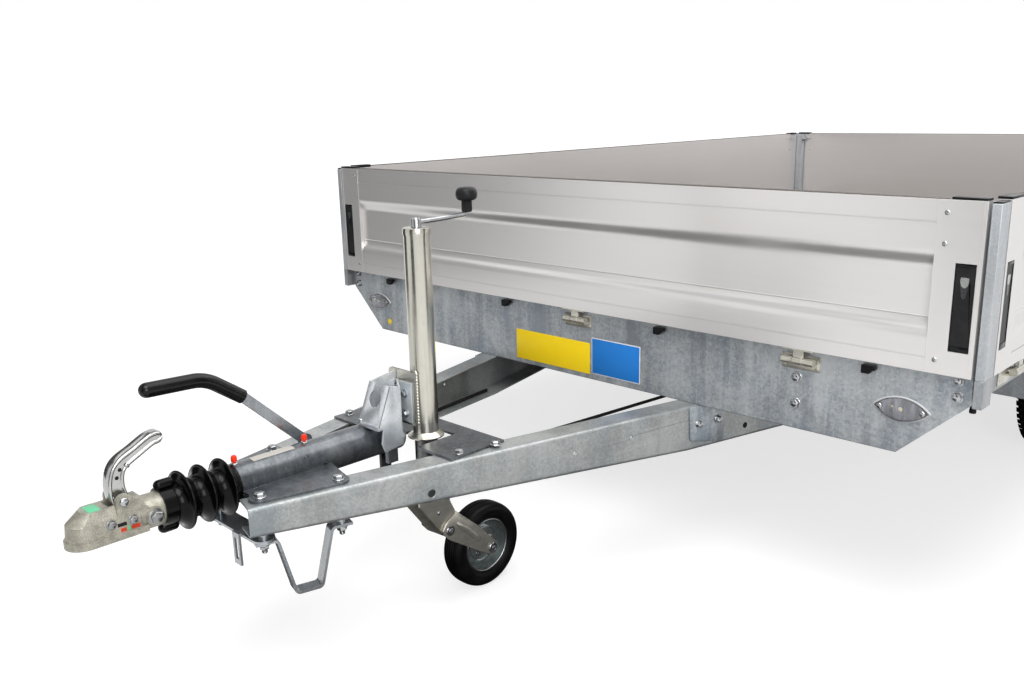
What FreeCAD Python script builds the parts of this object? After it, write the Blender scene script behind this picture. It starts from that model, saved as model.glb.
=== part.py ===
import FreeCAD, Part
import math
import os

V = FreeCAD.Vector

# Frame: millimetres, +Z up, -Y ahead (towards the coupling), +X the trailer's left.
# While the pieces are drawn, Y is zero on the outer face of the front board and
# Z is zero on the ground. They are moved to the middle of the length when written.

# Load bed
BOARD_HEIGHT = 350.0
BOARD_THICKNESS = 27.0
BODY_HALF_WIDTH = 1066.0
BODY_LENGTH = 3177.0
FLOOR_THICKNESS = 18.0
FLOOR_GAP = 5.0
SHEET = 3.0
MOVING_GAP = 6.0
CUT = 5.0
SEAT = 0.3
PARALLEL_SHARE = 0.01

# Corner posts and their pockets
POST_NOSE = 18.0
POST_FRONT = 2.0
POST_SIDE = 50.0
POST_WING = 66.0
POST_WALL = 4.0
POST_CAP = 4.0
POST_SEAM = 1.0
POCKET_DEPTH = 58.0

# Board extrusion, measured down from its top edge and in from its outer face
GROOVE_DEPTH = 1.5
GROOVE_WIDTH = 3.0
UPPER_GROOVE = 45.0
RECESS_TOP = 99.0
RECESS_FLAT_TOP = 141.0
RECESS_FLAT_END = 239.0
RECESS_END = 280.0
LOWER_GROOVE = 319.0
RECESS_DEPTH = 12.0
BEAD_RADIUS = 1.5

# Board ends and latches
END_WIDTH = 92.0
LATCH_WIDTH = 40.0
LATCH_HEIGHT = 178.0
LATCH_DROP = 122.0
LATCH_INSET = 10.0
LATCH_DEPTH = 16.0
LATCH_SINK = 1.5
LATCH_CLEARANCE = 0.3
LATCH_HOLE_HALF_WIDTH = 9.0
LATCH_HOLE_HEIGHT = 40.0
LATCH_HOLE_DROP = 26.0
LATCH_HOLE_DEPTH = 9.0

# Board hinges
PIVOT_DROP = 30.0
PIVOT_INSET = 10.5
PIN_RADIUS = 5.0
PIN_CLEARANCE = 0.05
KNUCKLE_RADIUS = 9.0
KNUCKLE_LENGTH = 26.0
KNUCKLE_GAP = 0.5
LEAF_THICKNESS = 4.0
LEAF_LENGTH = 78.0
END_HINGE_INSET = 399.0
SIDE_HINGE_SHARES = (-0.42, -0.21, 0.0, 0.21, 0.42)

# Front and rear panels, ledges and side rails
LEDGE = 45.0
PANEL_DROP = 196.0
PANEL_LOW_CORNER_INSET = 171.0
RAIL_HEIGHT = 56.0
RAIL_FLANGE = 34.0

# Rope hooks under the boards
HOOK_WIDTH = 40.0
HOOK_HEIGHT = 19.0
HOOK_DEPTH = 14.0
HOOK_DROP = 12.0
HOOK_LIP = 3.0
END_HOOK_SHARES = (0.259, 0.776)
SIDE_HOOK_SHARES = (-0.40, -0.24, -0.08, 0.08, 0.24, 0.40)

# Cross members and chassis rails
MEMBER_FLANGE = 42.0
MEMBER_END_INSET = 78.0
MEMBER_OVERHANG = 38.0
FIRST_MEMBER = 590.0
MEMBER_BEFORE_AXLE = 509.0
LAST_MEMBER_INSET = 397.0
CHASSIS_RAIL_INSET = 130.0
CHASSIS_RAIL_HEIGHT = 90.0
CHASSIS_RAIL_FLANGE = 46.0
CHASSIS_RAIL_SHEET = 4.0
CHASSIS_RAIL_START = 700.0

# Drawbar beams
BEAM_SHEET = 4.0
BEAM_FLANGE = 62.0
BEAM_BEND = 9.0
BEAM_FRONT_Y = -1074.0
BEAM_FRONT_X = 114.0
BEAM_PANEL_X = 389.0
BEAM_FRONT_HEIGHT = 62.0
BEAM_HEIGHT = 118.0
BEAM_LARGE_HOLE = 9.0
BEAM_SMALL_HOLE = 4.0
BEAM_LARGE_HOLE_SHARES = ((0.351, 0.734),)
BEAM_SMALL_HOLE_SHARES = ((0.685, 0.478), (0.834, 0.405))

# Overrun housing
TUBE_LIFT = 13.0
TUBE_RADIUS = 40.0
TUBE_WALL = 5.0
TUBE_FRONT_Y = -1040.0
TUBE_REAR_Y = -625.0
JOIN_PLATE = 6.0
JOIN_PLATE_END_RADIUS = 22.0
JOIN_FRONT_BOLT_Y = -1032.0
JOIN_REAR_BOLT_Y = -874.0
JOIN_BOLT_INSET = 38.0
REAR_PLATE_FRONT_Y = -645.0
REAR_PLATE_LENGTH = 160.0
REAR_PLATE_HALF = 218.0
GUIDE_RING = 18.0

# Draw tube, coupling head and bellows
DRAW_RADIUS = 25.0
DRAW_CLEARANCE = 0.3
DRAW_REAR_Y = -700.0
HEAD_TIP_Y = -1373.0
HEAD_LENGTH = 201.0
HEAD_DROP = 24.0
HEAD_RISE = 39.0
HEAD_SKIRT = 13.0
HEAD_NOSE_RADIUS = 36.0
HEAD_SHOULDER = 21.0
HEAD_SOCKET_RADIUS = 25.2
HEAD_BALL_LIFT = 22.0
HEAD_CHEEK_HALF = 30.0
HEAD_CHEEK_LENGTH = 140.0
HEAD_CROWN_HALF = 23.0
HEAD_CROWN_SETBACK = 32.0
HEAD_EAR_BEHIND_TIP = 102.0
HEAD_EAR_LIFT = 44.0
HEAD_EAR_RADIUS = 15.0
HEAD_EAR_WIDTH = 8.0
HEAD_EAR_FOOT = 46.0
HEAD_SLOT_GAP = 0.5
HEAD_SLEEVE_RADIUS = 33.0
HEAD_SLEEVE_LENGTH = 72.0
HEAD_BOSS_RADIUS = 18.0
HEAD_BOSS_HALF = 36.0
HEAD_BOSS_BEHIND_TIP = 155.0
BELLOWS_RADIUS = 59.0
BELLOWS_VALLEY = 40.0
BELLOWS_RIM = 3.0
BELLOWS_FOLDS = 3
BELLOWS_FLANK_SHARES = (0.66, 0.34)
BELLOWS_CUFF_WALL = 5.0
BELLOWS_OVERLAP = 25.0
BELLOWS_BORE_GAP = 0.3
BUMPER_RADIUS = 11.0
BUMPER_REACH = 43.0

# Coupling handle
HANDLE_WIDTH = 30.0
HANDLE_DEPTH = 38.0
HANDLE_RISE = 46.0
HANDLE_REACH_SHARES = ((-0.09, 1.0), (0.86, 1.96), (1.74, 2.28))
HANDLE_BEND = 26.0
HANDLE_EDGE = 2.0
HANDLE_WALL = 3.0
HANDLE_PIVOT_RADIUS = 6.0

# Hand brake, placed from its pivot beside the overrun tube
LEVER_X = -52.0
LEVER_THICKNESS = 8.0
LEVER_WIDTH = 22.0
LEVER_PIVOT_Y = -834.0
LEVER_PIVOT_LIFT = 23.0
LEVER_REACH = 140.0
LEVER_RISE = 134.0
GRIP_BEND_REACH = 78.0
GRIP_BEND_RISE = 56.0
GRIP_END_REACH = 119.0
GRIP_END_RISE = 4.0
GRIP_BEND_RADIUS = 90.0
GRIP_RADIUS = 15.0
GRIP_OVERLAP = 30.0
LEVER_PIVOT_BOSS = 16.0
GRIP_FIT = 0.3

# Skid under the left beam
SKID_THICKNESS = 6.0
SKID_WIDTH = 30.0
SKID_DROP = 217.0
SKID_BOTTOM_HALF = 27.0
SKID_TAB = 22.0
SKID_BEND = 10.0

# Front tie plate with the guide for the breakaway cable
TIE_THICKNESS = 6.0
TIE_LENGTH = 46.0
SPACER_HEIGHT = 16.0
SPACER_RADIUS = 11.0
GUIDE_THICKNESS = 5.0
GUIDE_WIDTH = 26.0
GUIDE_HEIGHT = 70.0
GUIDE_SLOT = 12.0
GUIDE_X = 12.0

# Jockey wheel
JOCKEY_X = 57.0
JOCKEY_Y = -580.0
JOCKEY_TUBE_RADIUS = 30.0
JOCKEY_TUBE_WALL = 3.0
JOCKEY_TUBE_LENGTH = 478.0
JOCKEY_TUBE_LIFT = 5.0
JOCKEY_COLLAR_RADIUS = 42.0
JOCKEY_COLLAR_HEIGHT = 10.0
JOCKEY_COLLAR_BEND = 3.0
JOCKEY_INNER_CLEARANCE = 0.3
JOCKEY_INNER_WALL = 5.0
JOCKEY_INNER_LENGTH = 394.0
JOCKEY_SWIVEL_RADIUS = 12.0
JOCKEY_SWIVEL_CLEARANCE = 0.1
JOCKEY_CROWN_RADIUS = 31.0
JOCKEY_CROWN_HEIGHT = 34.0
JOCKEY_CROWN_GAP = 1.0
JOCKEY_FORK_RISE = 198.0
JOCKEY_FORK_HALF = 39.0
JOCKEY_FORK_PLATE = 4.0
JOCKEY_WHEEL_RADIUS = 108.0
JOCKEY_WHEEL_WIDTH = 60.0
JOCKEY_WHEEL_TRAIL = 162.0
JOCKEY_RIM_RADIUS = 68.0
JOCKEY_RIM_WALL = 3.0
JOCKEY_DISH_SHARE = 0.5
JOCKEY_HUB_HALF = 30.0
JOCKEY_HUB_RADIUS = 14.0
JOCKEY_AXLE_RADIUS = 6.0
JOCKEY_EYE_RADIUS = 18.0
CROWN_PLATE_SHARES = ((-0.34, 0.995), (0.21, 0.995), (0.21, 0.84), (0.31, 0.67), (0.24, 0.50), (0.04, 0.46),
                      (-0.36, 0.90))
FORK_ARM_SHARES = ((0.04, 0.46), (0.31, 0.67), (0.40, 0.60), (0.73, 0.36), (0.61, 0.10), (0.41, 0.21))
FORK_FOOT_SHARES = ((0.61, 0.10), (0.68, 0.40), (1.06, 0.09), (0.95, -0.08))
FORK_RIB_SHARES = ((0.37, 0.49), (0.62, 0.29))
FORK_RIB_RADIUS = 7.0
FLANGE_PLATE = 6.0
FLANGE_WELD = 2.0
FLANGE_CORNER = 9.0
FLANGE_LEFT = 84.0
FLANGE_RIGHT = 11.0
FLANGE_LIFT = 36.0
FLANGE_HEIGHT = 126.0

# Crank on top of the jockey tube
CRANK_HUB_RADIUS = 11.0
CRANK_HUB_HEIGHT = 24.0
CRANK_HUB_SETBACK = 2.0
CRANK_ARM_LENGTH = 152.0
CRANK_BAR_RADIUS = 6.0
CRANK_BAR_CLEARANCE = 0.3
CRANK_RISE = 10.0
CRANK_POST = 44.0
KNOB_HALF = 20.0
KNOB_CORNER = 9.0
KNOB_HEIGHT = 26.0
KNOB_STEM_RADIUS = 11.0
KNOB_STEM = 26.0

# Holder with the open notch
HOLDER_SHEET = 4.0
HOLDER_BEND = 6.0
HOLDER_LEFT = -2.0
HOLDER_RIGHT = 44.0
HOLDER_FOOT_Y = -724.0
HOLDER_FOOT_LIFT = 8.0
HOLDER_HEIGHT = 88.0
HOLDER_LEAN = 36.0
HOLDER_SLOPE = 12.0
HOLDER_LOW_Y = -700.0
HOLDER_BACK_Y = -645.0
HOLDER_SIDE_DROP = 7.0
HOLDER_NOTCH_RADIUS = 14.0
HOLDER_NOTCH_DROP = 34.0
NOTCH_MOUTH_SHARE = 0.75

# Road wheels
WHEEL_RADIUS = 274.0
TYRE_WIDTH = 160.0
TYRE_INSET = 314.0
RIM_RADIUS = 165.0
RIM_FLANGE = 8.0
RIM_WIDTH = 128.0
RIM_WALL = 5.0
RIM_DISC_SHARE = 0.62
HUB_RADIUS = 34.0
HUB_BORE = 17.0
HUB_BORE_CLEARANCE = 0.05
AXLES_MIDDLE_SHARE = 0.60875
AXLE_SPACING = 700.0
RIM_WINDOW_RADIUS = 15.0
RIM_WINDOWS = 8
TYRE_SEAT = 0.3
TYRE_SHARES = ((0.86, 0), (0.97, 0.25), (1, 0.5), (0.96, 0.77), (0.86, 0.92), (0.7, 0.985), (0.3, 1))
RIM_WELL = 16.0
STUB_REACH = 50.0
JOCKEY_TYRE_SHARES = ((0.7, 0), (0.9, 0.2), (1, 0.5), (0.93, 0.78), (0.66, 0.95), (0.25, 1))

# Axles
AXLE_TUBE_RADIUS = 44.0
AXLE_TUBE_LIFT = 16.0
AXLE_ARM_LENGTH = 165.0
AXLE_ARM_WIDTH = 34.0
AXLE_ARM_GAP = 12.0
AXLE_PLATE = 8.0
AXLE_PLATE_HALF_LENGTH = 75.0
DRUM_RADIUS = 110.0
DRUM_WIDTH = 52.0
BACKPLATE = 4.0

# Mudguards
GUARD_ARC_STEPS = 6
GUARD_SHEET = 4.0
GUARD_CLEARANCE = 20.0
GUARD_INNER_INSET = 17.0
GUARD_WIDTH = 220.0
GUARD_SKIRT = 34.0
GUARD_END_ANGLE = 22.0

# Brake rod and wiring
ROD_RADIUS = 5.0
ROD_X = -26.0
ROD_DROP = 126.0
ROD_FALL = 103.0
ROD_BEFORE_AXLE = 35.0
ROD_LEVER_WIDTH = 28.0
ROD_LEVER_THICKNESS = 8.0
ROD_LEVER_TOP = 14.0
ROD_PIVOT_DROP = 58.0
ROD_LUG_HALF = 6.0
EQUALISER_LENGTH = 60.0
EQUALISER_HEIGHT = 26.0
LOOM_RADIUS = 5.0
LOOM_INSET = 30.0

# Lamps
LAMP_LENGTH = 118.0
LAMP_HEIGHT = 50.0
LAMP_DEPTH = 12.0
LAMP_INSET = 165.0
LAMP_DROP = 97.0
LAMP_BACK_SHARE = 0.35
TAIL_LAMP_WIDTH = 230.0
TAIL_LAMP_HEIGHT = 100.0
TAIL_LAMP_DEPTH = 45.0
TAIL_LAMP_INSET = 336.0
TAIL_LAMP_RIM = 8.0

# Levels, built up from the road wheels
RAIL_BOTTOM = WHEEL_RADIUS + WHEEL_RADIUS + GUARD_CLEARANCE + GUARD_SHEET - SHEET
FLOOR_TOP = RAIL_BOTTOM + RAIL_HEIGHT
FLOOR_BOTTOM = FLOOR_TOP - FLOOR_THICKNESS
BOARD_BOTTOM = FLOOR_TOP + FLOOR_GAP
BOARD_TOP = BOARD_BOTTOM + BOARD_HEIGHT
PANEL_BOTTOM = BOARD_BOTTOM - PANEL_DROP
PIVOT_Z = BOARD_BOTTOM - PIVOT_DROP
POCKET_TOP = BOARD_BOTTOM - POST_SEAM
POCKET_BOTTOM = POCKET_TOP - POCKET_DEPTH
BEAM_TOP = PANEL_BOTTOM
TUBE_AXIS_Z = BEAM_TOP + TUBE_LIFT
AXLE_TUBE_Z = WHEEL_RADIUS + AXLE_TUBE_LIFT
LAMP_Z = BOARD_BOTTOM - LAMP_DROP

# Places across the width
POST_END = POST_NOSE + MOVING_GAP
END_BOARD_HALF = BODY_HALF_WIDTH - POST_END
FRAME_HALF = BODY_HALF_WIDTH - BOARD_THICKNESS
END_HINGE_X = BODY_HALF_WIDTH - END_HINGE_INSET
TYRE_INNER_X = BODY_HALF_WIDTH - TYRE_INSET
TYRE_MIDDLE_X = TYRE_INNER_X + TYRE_WIDTH / 2
CHASSIS_RAIL_X = TYRE_INNER_X - CHASSIS_RAIL_INSET
MEMBER_INNER_HALF = CHASSIS_RAIL_X + MEMBER_OVERHANG
LAMP_X = BODY_HALF_WIDTH - LAMP_INSET
TAIL_LAMP_X = BODY_HALF_WIDTH - TAIL_LAMP_INSET
BEAM_ANGLE = math.atan2(BEAM_PANEL_X - BEAM_FRONT_X, -BEAM_FRONT_Y)

# Places along the length
FRAME_FRONT = BOARD_THICKNESS
FRAME_REAR = BODY_LENGTH - BOARD_THICKNESS
SIDE_BOARD_START = POST_SIDE + MOVING_GAP
SIDE_BOARD_HALF = BODY_LENGTH / 2 - SIDE_BOARD_START
FRONT_AXLE_Y = BODY_LENGTH * AXLES_MIDDLE_SHARE - AXLE_SPACING / 2
REAR_AXLE_Y = FRONT_AXLE_Y + AXLE_SPACING
SECOND_MEMBER = FRONT_AXLE_Y - MEMBER_BEFORE_AXLE
LAST_MEMBER = BODY_LENGTH - LAST_MEMBER_INSET
MIDDLE_Y = (HEAD_TIP_Y + BODY_LENGTH) / 2

# Places on the drawbar
HEAD_REAR_Y = HEAD_TIP_Y + HEAD_LENGTH
HEAD_BOTTOM = TUBE_AXIS_Z - HEAD_DROP
HEAD_TOP = TUBE_AXIS_Z + HEAD_RISE
HEAD_EAR_Y = HEAD_TIP_Y + HEAD_EAR_BEHIND_TIP
HEAD_EAR_Z = TUBE_AXIS_Z + HEAD_EAR_LIFT
FLANGE_FACE_Y = JOCKEY_Y - JOCKEY_TUBE_RADIUS + FLANGE_WELD - FLANGE_PLATE
FLANGE_BOTTOM = BEAM_TOP + FLANGE_LIFT
FLANGE_TOP = FLANGE_BOTTOM + FLANGE_HEIGHT
JOCKEY_TUBE_BOTTOM = BEAM_TOP + JOCKEY_TUBE_LIFT
JOCKEY_TUBE_TOP = JOCKEY_TUBE_BOTTOM + JOCKEY_TUBE_LENGTH
JOCKEY_INNER_BOTTOM = JOCKEY_WHEEL_RADIUS + JOCKEY_FORK_RISE
JOCKEY_INNER_TOP = JOCKEY_INNER_BOTTOM + JOCKEY_INNER_LENGTH
HOLDER_FOOT = TUBE_AXIS_Z + TUBE_RADIUS + HOLDER_FOOT_LIFT
HOLDER_TOP = HOLDER_FOOT + HOLDER_HEIGHT
HOLDER_TOP_Y = HOLDER_FOOT_Y + HOLDER_LEAN
HOLDER_SIDE_BOTTOM = BEAM_TOP - HOLDER_SIDE_DROP


# Basic forms


def block(x0, y0, z0, x1, y1, z1):
    low = V(min(x0, x1), min(y0, y1), min(z0, z1))
    return Part.makeBox(abs(x1 - x0), abs(y1 - y0), abs(z1 - z0), low)


def rod(start, end, radius):
    axis = end - start
    return Part.makeCylinder(radius, axis.Length, start, axis)


def pipe(start, end, outer, inner):
    return rod(start, end, outer).cut(rod(start, end, inner))


def prism(points, travel):
    face = Part.Face(Part.makePolygon(points + points[:1]))
    return face.extrude(travel)


def prism_x(yz, x0, x1):
    return prism([V(x0, y, z) for y, z in yz], V(x1 - x0, 0, 0))


def prism_y(xz, y0, y1):
    return prism([V(x, y0, z) for x, z in xz], V(0, y1 - y0, 0))


def prism_z(xy, z0, z1):
    return prism([V(x, y, z0) for x, y in xy], V(0, 0, z1 - z0))


def join(pieces):
    whole = pieces[0]
    if len(pieces) > 1:
        whole = whole.fuse(list(pieces[1:]))
    return whole.removeSplitter()


def mirror_x(shape):
    return shape.mirror(V(0, 0, 0), V(1, 0, 0))


def mirror_length(shape):
    return shape.mirror(V(0, BODY_LENGTH / 2, 0), V(0, 1, 0))


def arc_between(start, through, end):
    return Part.Arc(start, through, end).toShape()


def bends(path, radius, across):
    """At each inner point of a path: where its arc starts and ends, its centre, and the two headings."""
    found = []
    for before, at, after in zip(path[:-2], path[1:-1], path[2:]):
        into, out = (at - before).normalize(), (after - at).normalize()
        half_turn = into.getAngle(out) / 2
        trim = radius * math.tan(half_turn)
        inward = (out - into).normalize()
        centre = at + inward * (radius / math.cos(half_turn))
        normals = (across.cross(into), across.cross(out))
        found.append((at - into * trim, at + out * trim, centre, inward) + normals)
    return found


def curved_strip(path, left, right, radius, across):
    """Face of a strip along a path, so wide to its left and right, with arcs about common centres."""
    def side(offset):
        first = across.cross((path[1] - path[0]).normalize())
        final = across.cross((path[-1] - path[-2]).normalize())
        edges, last = [], path[0] + first * offset
        for start, end, centre, inward, normal_in, normal_out in bends(path, radius, across):
            reach = radius - math.copysign(1, inward.dot(normal_in)) * offset
            a, b = start + normal_in * offset, end + normal_out * offset
            edges += [Part.LineSegment(last, a).toShape(), arc_between(a, centre - inward * reach, b)]
            last = b
        end = path[-1] + final * offset
        return edges + [Part.LineSegment(last, end).toShape()], path[0] + first * offset, end

    left_edges, left_start, left_end = side(left)
    right_edges, right_start, right_end = side(-right)
    caps = [Part.LineSegment(left_end, right_end).toShape(),
            Part.LineSegment(left_start, right_start).toShape()]
    return Part.Face(Part.Wire(Part.__sortEdges__(left_edges + right_edges + caps)))


def bent_rod(path, radius, bend_radius, across):
    """Round bar along a path, bent about common centres at its inner points."""
    pieces, last = [], path[0]
    for start, end, centre, _, _, _ in bends(path, bend_radius, across):
        axis = (start - centre).cross(end - centre).normalize()
        turn = math.degrees((start - centre).getAngle(end - centre))
        ring = Part.Face(Part.Wire(Part.makeCircle(radius, start, start - last)))
        pieces += [rod(last, start, radius), ring.revolve(centre, axis, turn)]
        last = end
    return join(pieces + [rod(last, path[-1], radius)])


def round_edges(shape, radius, chosen):
    """Fillet the straight edges whose middle and direction pass the given test."""
    edges = []
    for edge in shape.Edges:
        if edge.Curve.TypeId == "Part::GeomLine":
            middle = edge.valueAt((edge.FirstParameter + edge.LastParameter) / 2)
            if chosen(middle, edge.tangentAt(edge.FirstParameter)):
                edges.append(edge)
    return shape.makeFillet(radius, edges)


def spin_profile(points, axis_point, axis, turn=360):
    face = Part.Face(Part.makePolygon(points + points[:1]))
    return face.revolve(axis_point, axis, turn)


# Boards


def s_curve(start, end):
    """Two arcs from one flat of the extrusion to the other, tangent to both."""
    inward, down = end[0] - start[0], end[1] - start[1]
    radius = (inward * inward + down * down) / (4 * abs(inward))
    turn = math.asin(down / 2 / radius)
    side = math.copysign(1, inward)

    def spot(base, way, angle):
        inwards = side * radius * (1 - math.cos(angle))
        return (base[0] + way * inwards, base[1] + way * radius * math.sin(angle))

    return [(start, spot(start, 1, turn / 2), spot(start, 1, turn)),
            (spot(end, -1, turn), spot(end, -1, turn / 2), end)]


def board_section():
    """Runs of the section, each a line or a three-point arc: in from the outer face, down from the top."""
    def groove(level):
        half = GROOVE_WIDTH / 2
        return [(0, level - half), (GROOVE_DEPTH, level - half),
                (GROOVE_DEPTH, level + half), (0, level + half)]

    def lines(points):
        return list(zip(points[:-1], points[1:]))

    bead_top = RECESS_FLAT_END - BEAD_RADIUS - BEAD_RADIUS
    bead = ((RECESS_DEPTH, bead_top), (RECESS_DEPTH - BEAD_RADIUS, RECESS_FLAT_END - BEAD_RADIUS),
            (RECESS_DEPTH, RECESS_FLAT_END))
    runs = lines([(0, 0)] + groove(UPPER_GROOVE) + [(0, RECESS_TOP)])
    runs += s_curve((0, RECESS_TOP), (RECESS_DEPTH, RECESS_FLAT_TOP))
    runs += [((RECESS_DEPTH, RECESS_FLAT_TOP), (RECESS_DEPTH, bead_top)), bead]
    runs += s_curve((RECESS_DEPTH, RECESS_FLAT_END), (0, RECESS_END))
    runs += lines([(0, RECESS_END)] + groove(LOWER_GROOVE) + [(0, BOARD_HEIGHT)])
    runs += lines([(0, BOARD_HEIGHT), (BOARD_THICKNESS, BOARD_HEIGHT), (BOARD_THICKNESS, 0), (0, 0)])
    return runs


def board_blank(half):
    """A board with its outer face on y = 0, from -half to half along x."""
    edges = []
    for run in board_section():
        points = [V(-half, inward, BOARD_TOP - down) for inward, down in run]
        curve = Part.Arc(*points) if len(points) == 3 else Part.LineSegment(*points)
        edges.append(curve.toShape())
    blank = Part.Face(Part.Wire(edges)).extrude(V(half + half, 0, 0))
    ends = []
    for side in (-1, 1):
        x_out = side * half
        ends.append(block(x_out, 0, BOARD_BOTTOM, x_out - side * END_WIDTH, BOARD_THICKNESS, BOARD_TOP))
    shape = join([blank] + ends)
    return shape.cut([latch_box(side, half, 0, LATCH_DEPTH) for side in (-1, 1)])


def latch_box(side, half, clearance, depth):
    x_out = side * (half - LATCH_INSET - clearance)
    x_in = side * (half - LATCH_INSET - LATCH_WIDTH + clearance)
    top = BOARD_TOP - LATCH_DROP - clearance
    bottom = BOARD_TOP - LATCH_DROP - LATCH_HEIGHT + clearance
    return block(x_out, -CUT, bottom, x_in, depth, top)


def latch(side, half):
    """The black latch handle that lies in the pocket of a board's end."""
    body = latch_box(side, half, LATCH_CLEARANCE, LATCH_DEPTH)
    body = body.cut(block(-half, -CUT, BOARD_BOTTOM, half, LATCH_SINK, BOARD_TOP))
    middle = side * (half - LATCH_INSET - LATCH_WIDTH / 2)
    top = BOARD_TOP - LATCH_DROP - LATCH_HOLE_DROP
    hole_top = rod(V(middle, -CUT, top - LATCH_HOLE_HALF_WIDTH),
                   V(middle, LATCH_HOLE_DEPTH, top - LATCH_HOLE_HALF_WIDTH), LATCH_HOLE_HALF_WIDTH)
    low = top - LATCH_HOLE_HEIGHT
    slot = block(middle - LATCH_HOLE_HALF_WIDTH / 2, -CUT, low, middle + LATCH_HOLE_HALF_WIDTH / 2,
                 LATCH_HOLE_DEPTH, top - LATCH_HOLE_HALF_WIDTH)
    return body.cut([hole_top, slot])


def leaf(x):
    """The moving leaf and its middle knuckle, under the board at x."""
    half = KNUCKLE_LENGTH / 2 - KNUCKLE_GAP
    knuckle = rod(V(x - half, PIVOT_INSET, PIVOT_Z), V(x + half, PIVOT_INSET, PIVOT_Z), KNUCKLE_RADIUS)
    stem = block(x - half, PIVOT_INSET - LEAF_THICKNESS / 2, PIVOT_Z,
                 x + half, PIVOT_INSET + LEAF_THICKNESS / 2, BOARD_BOTTOM)
    plate = block(x - LEAF_LENGTH / 2, GROOVE_DEPTH, BOARD_BOTTOM - LEAF_THICKNESS,
                  x + LEAF_LENGTH / 2, BOARD_THICKNESS - MOVING_GAP, BOARD_BOTTOM)
    bore = rod(V(x - KNUCKLE_LENGTH, PIVOT_INSET, PIVOT_Z), V(x + KNUCKLE_LENGTH, PIVOT_INSET, PIVOT_Z),
               PIN_RADIUS + PIN_CLEARANCE)
    return join([knuckle, stem, plate]).cut(bore)


def hinge_seat(x):
    """The fixed knuckles, their pin and the bracket on the panel or rail at x."""
    pin = rod(V(x - LEAF_LENGTH / 2, PIVOT_INSET, PIVOT_Z), V(x + LEAF_LENGTH / 2, PIVOT_INSET, PIVOT_Z),
              PIN_RADIUS)
    pieces = [pin]
    for side in (-1, 1):
        x0 = x + side * (KNUCKLE_LENGTH / 2 + KNUCKLE_GAP)
        x1 = x + side * LEAF_LENGTH / 2
        pieces.append(rod(V(min(x0, x1), PIVOT_INSET, PIVOT_Z), V(max(x0, x1), PIVOT_INSET, PIVOT_Z),
                          KNUCKLE_RADIUS))
        pieces.append(block(x0, PIVOT_INSET, PIVOT_Z - KNUCKLE_RADIUS,
                            x1, BOARD_THICKNESS, PIVOT_Z - KNUCKLE_RADIUS + LEAF_THICKNESS))
    return join(pieces)


def rope_hook(x):
    """A small hook that hangs from the ledge behind the board at x."""
    top = BOARD_BOTTOM - HOOK_DROP
    body = block(x - HOOK_WIDTH / 2, BOARD_THICKNESS - HOOK_DEPTH, top - HOOK_HEIGHT,
                 x + HOOK_WIDTH / 2, BOARD_THICKNESS, top)
    throat = block(x - HOOK_LIP, BOARD_THICKNESS - HOOK_DEPTH - CUT, top - HOOK_HEIGHT / 2,
                   x + HOOK_WIDTH, BOARD_THICKNESS - HOOK_DEPTH / 2, top + CUT)
    return body.cut(throat)


# Chassis


def end_outline(half, low_half, low_z, high_z, top_z):
    """Outline in x and z of a transverse sheet whose lower corners are cut off."""
    return [(-half, top_z), (-half, high_z), (-low_half, low_z),
            (low_half, low_z), (half, high_z), (half, top_z)]


def end_panel():
    """Front panel: a deep sheet with a ledge for the floor and a bottom flange."""
    outline = end_outline(FRAME_HALF, BODY_HALF_WIDTH - PANEL_LOW_CORNER_INSET,
                          PANEL_BOTTOM, RAIL_BOTTOM, FLOOR_TOP)
    web = prism_y(outline, FRAME_FRONT, FRAME_FRONT + SHEET)
    inner = FRAME_FRONT + SHEET
    ledge_half = BODY_HALF_WIDTH - POST_WING
    ledge = block(-ledge_half, inner, FLOOR_BOTTOM - SHEET, ledge_half, inner + LEDGE, FLOOR_BOTTOM)
    low_half = BODY_HALF_WIDTH - PANEL_LOW_CORNER_INSET
    flange = block(-low_half, inner, PANEL_BOTTOM, low_half, inner + MEMBER_FLANGE, PANEL_BOTTOM + SHEET)
    return join([web, ledge, flange])


def lamp_seat(side):
    """The box that a tail lamp fills in the rear panel, seen as at the front."""
    half = TAIL_LAMP_WIDTH / 2
    low = PANEL_BOTTOM + (RAIL_BOTTOM - PANEL_BOTTOM - TAIL_LAMP_HEIGHT) / 2
    x = side * TAIL_LAMP_X
    return x - half, low, x + half, low + TAIL_LAMP_HEIGHT


def rear_panel():
    panel = end_panel()
    holes = []
    for side in (-1, 1):
        x0, z0, x1, z1 = lamp_seat(side)
        holes.append(block(x0, FRAME_FRONT - CUT, z0, x1, FRAME_FRONT + SHEET + CUT, z1))
    return mirror_length(panel.cut(holes))


def corner_outline(wing_front, wall):
    """The angular section that a corner post and its pocket share, on the left front corner."""
    outer = BODY_HALF_WIDTH
    nose_front = POST_FRONT
    return [(outer - POST_WING + wall, wing_front + wall), (outer - POST_NOSE + wall, wing_front + wall),
            (outer - POST_NOSE + wall, nose_front + wall), (outer - wall, nose_front + wall),
            (outer - wall, POST_SIDE - wall), (outer - POST_WING + wall, POST_SIDE - wall)]


def corner_post():
    wing_front = FRAME_FRONT + MOVING_GAP
    outer = prism_z(corner_outline(wing_front, 0), POCKET_TOP, BOARD_TOP - POST_CAP)
    inner = prism_z(corner_outline(wing_front, POST_WALL), POCKET_TOP - CUT, BOARD_TOP - POST_CAP - POST_WALL)
    return outer.cut(inner)


def corner_pocket():
    wing_front = FRAME_FRONT + SHEET
    outer = prism_z(corner_outline(wing_front, 0), POCKET_BOTTOM, POCKET_TOP)
    inner = prism_z(corner_outline(wing_front, POST_WALL), POCKET_BOTTOM - CUT, POCKET_TOP + CUT)
    return outer.cut(inner)


def four_corners(shape):
    left = [shape, mirror_length(shape)]
    return left + [mirror_x(piece) for piece in left]


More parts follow.
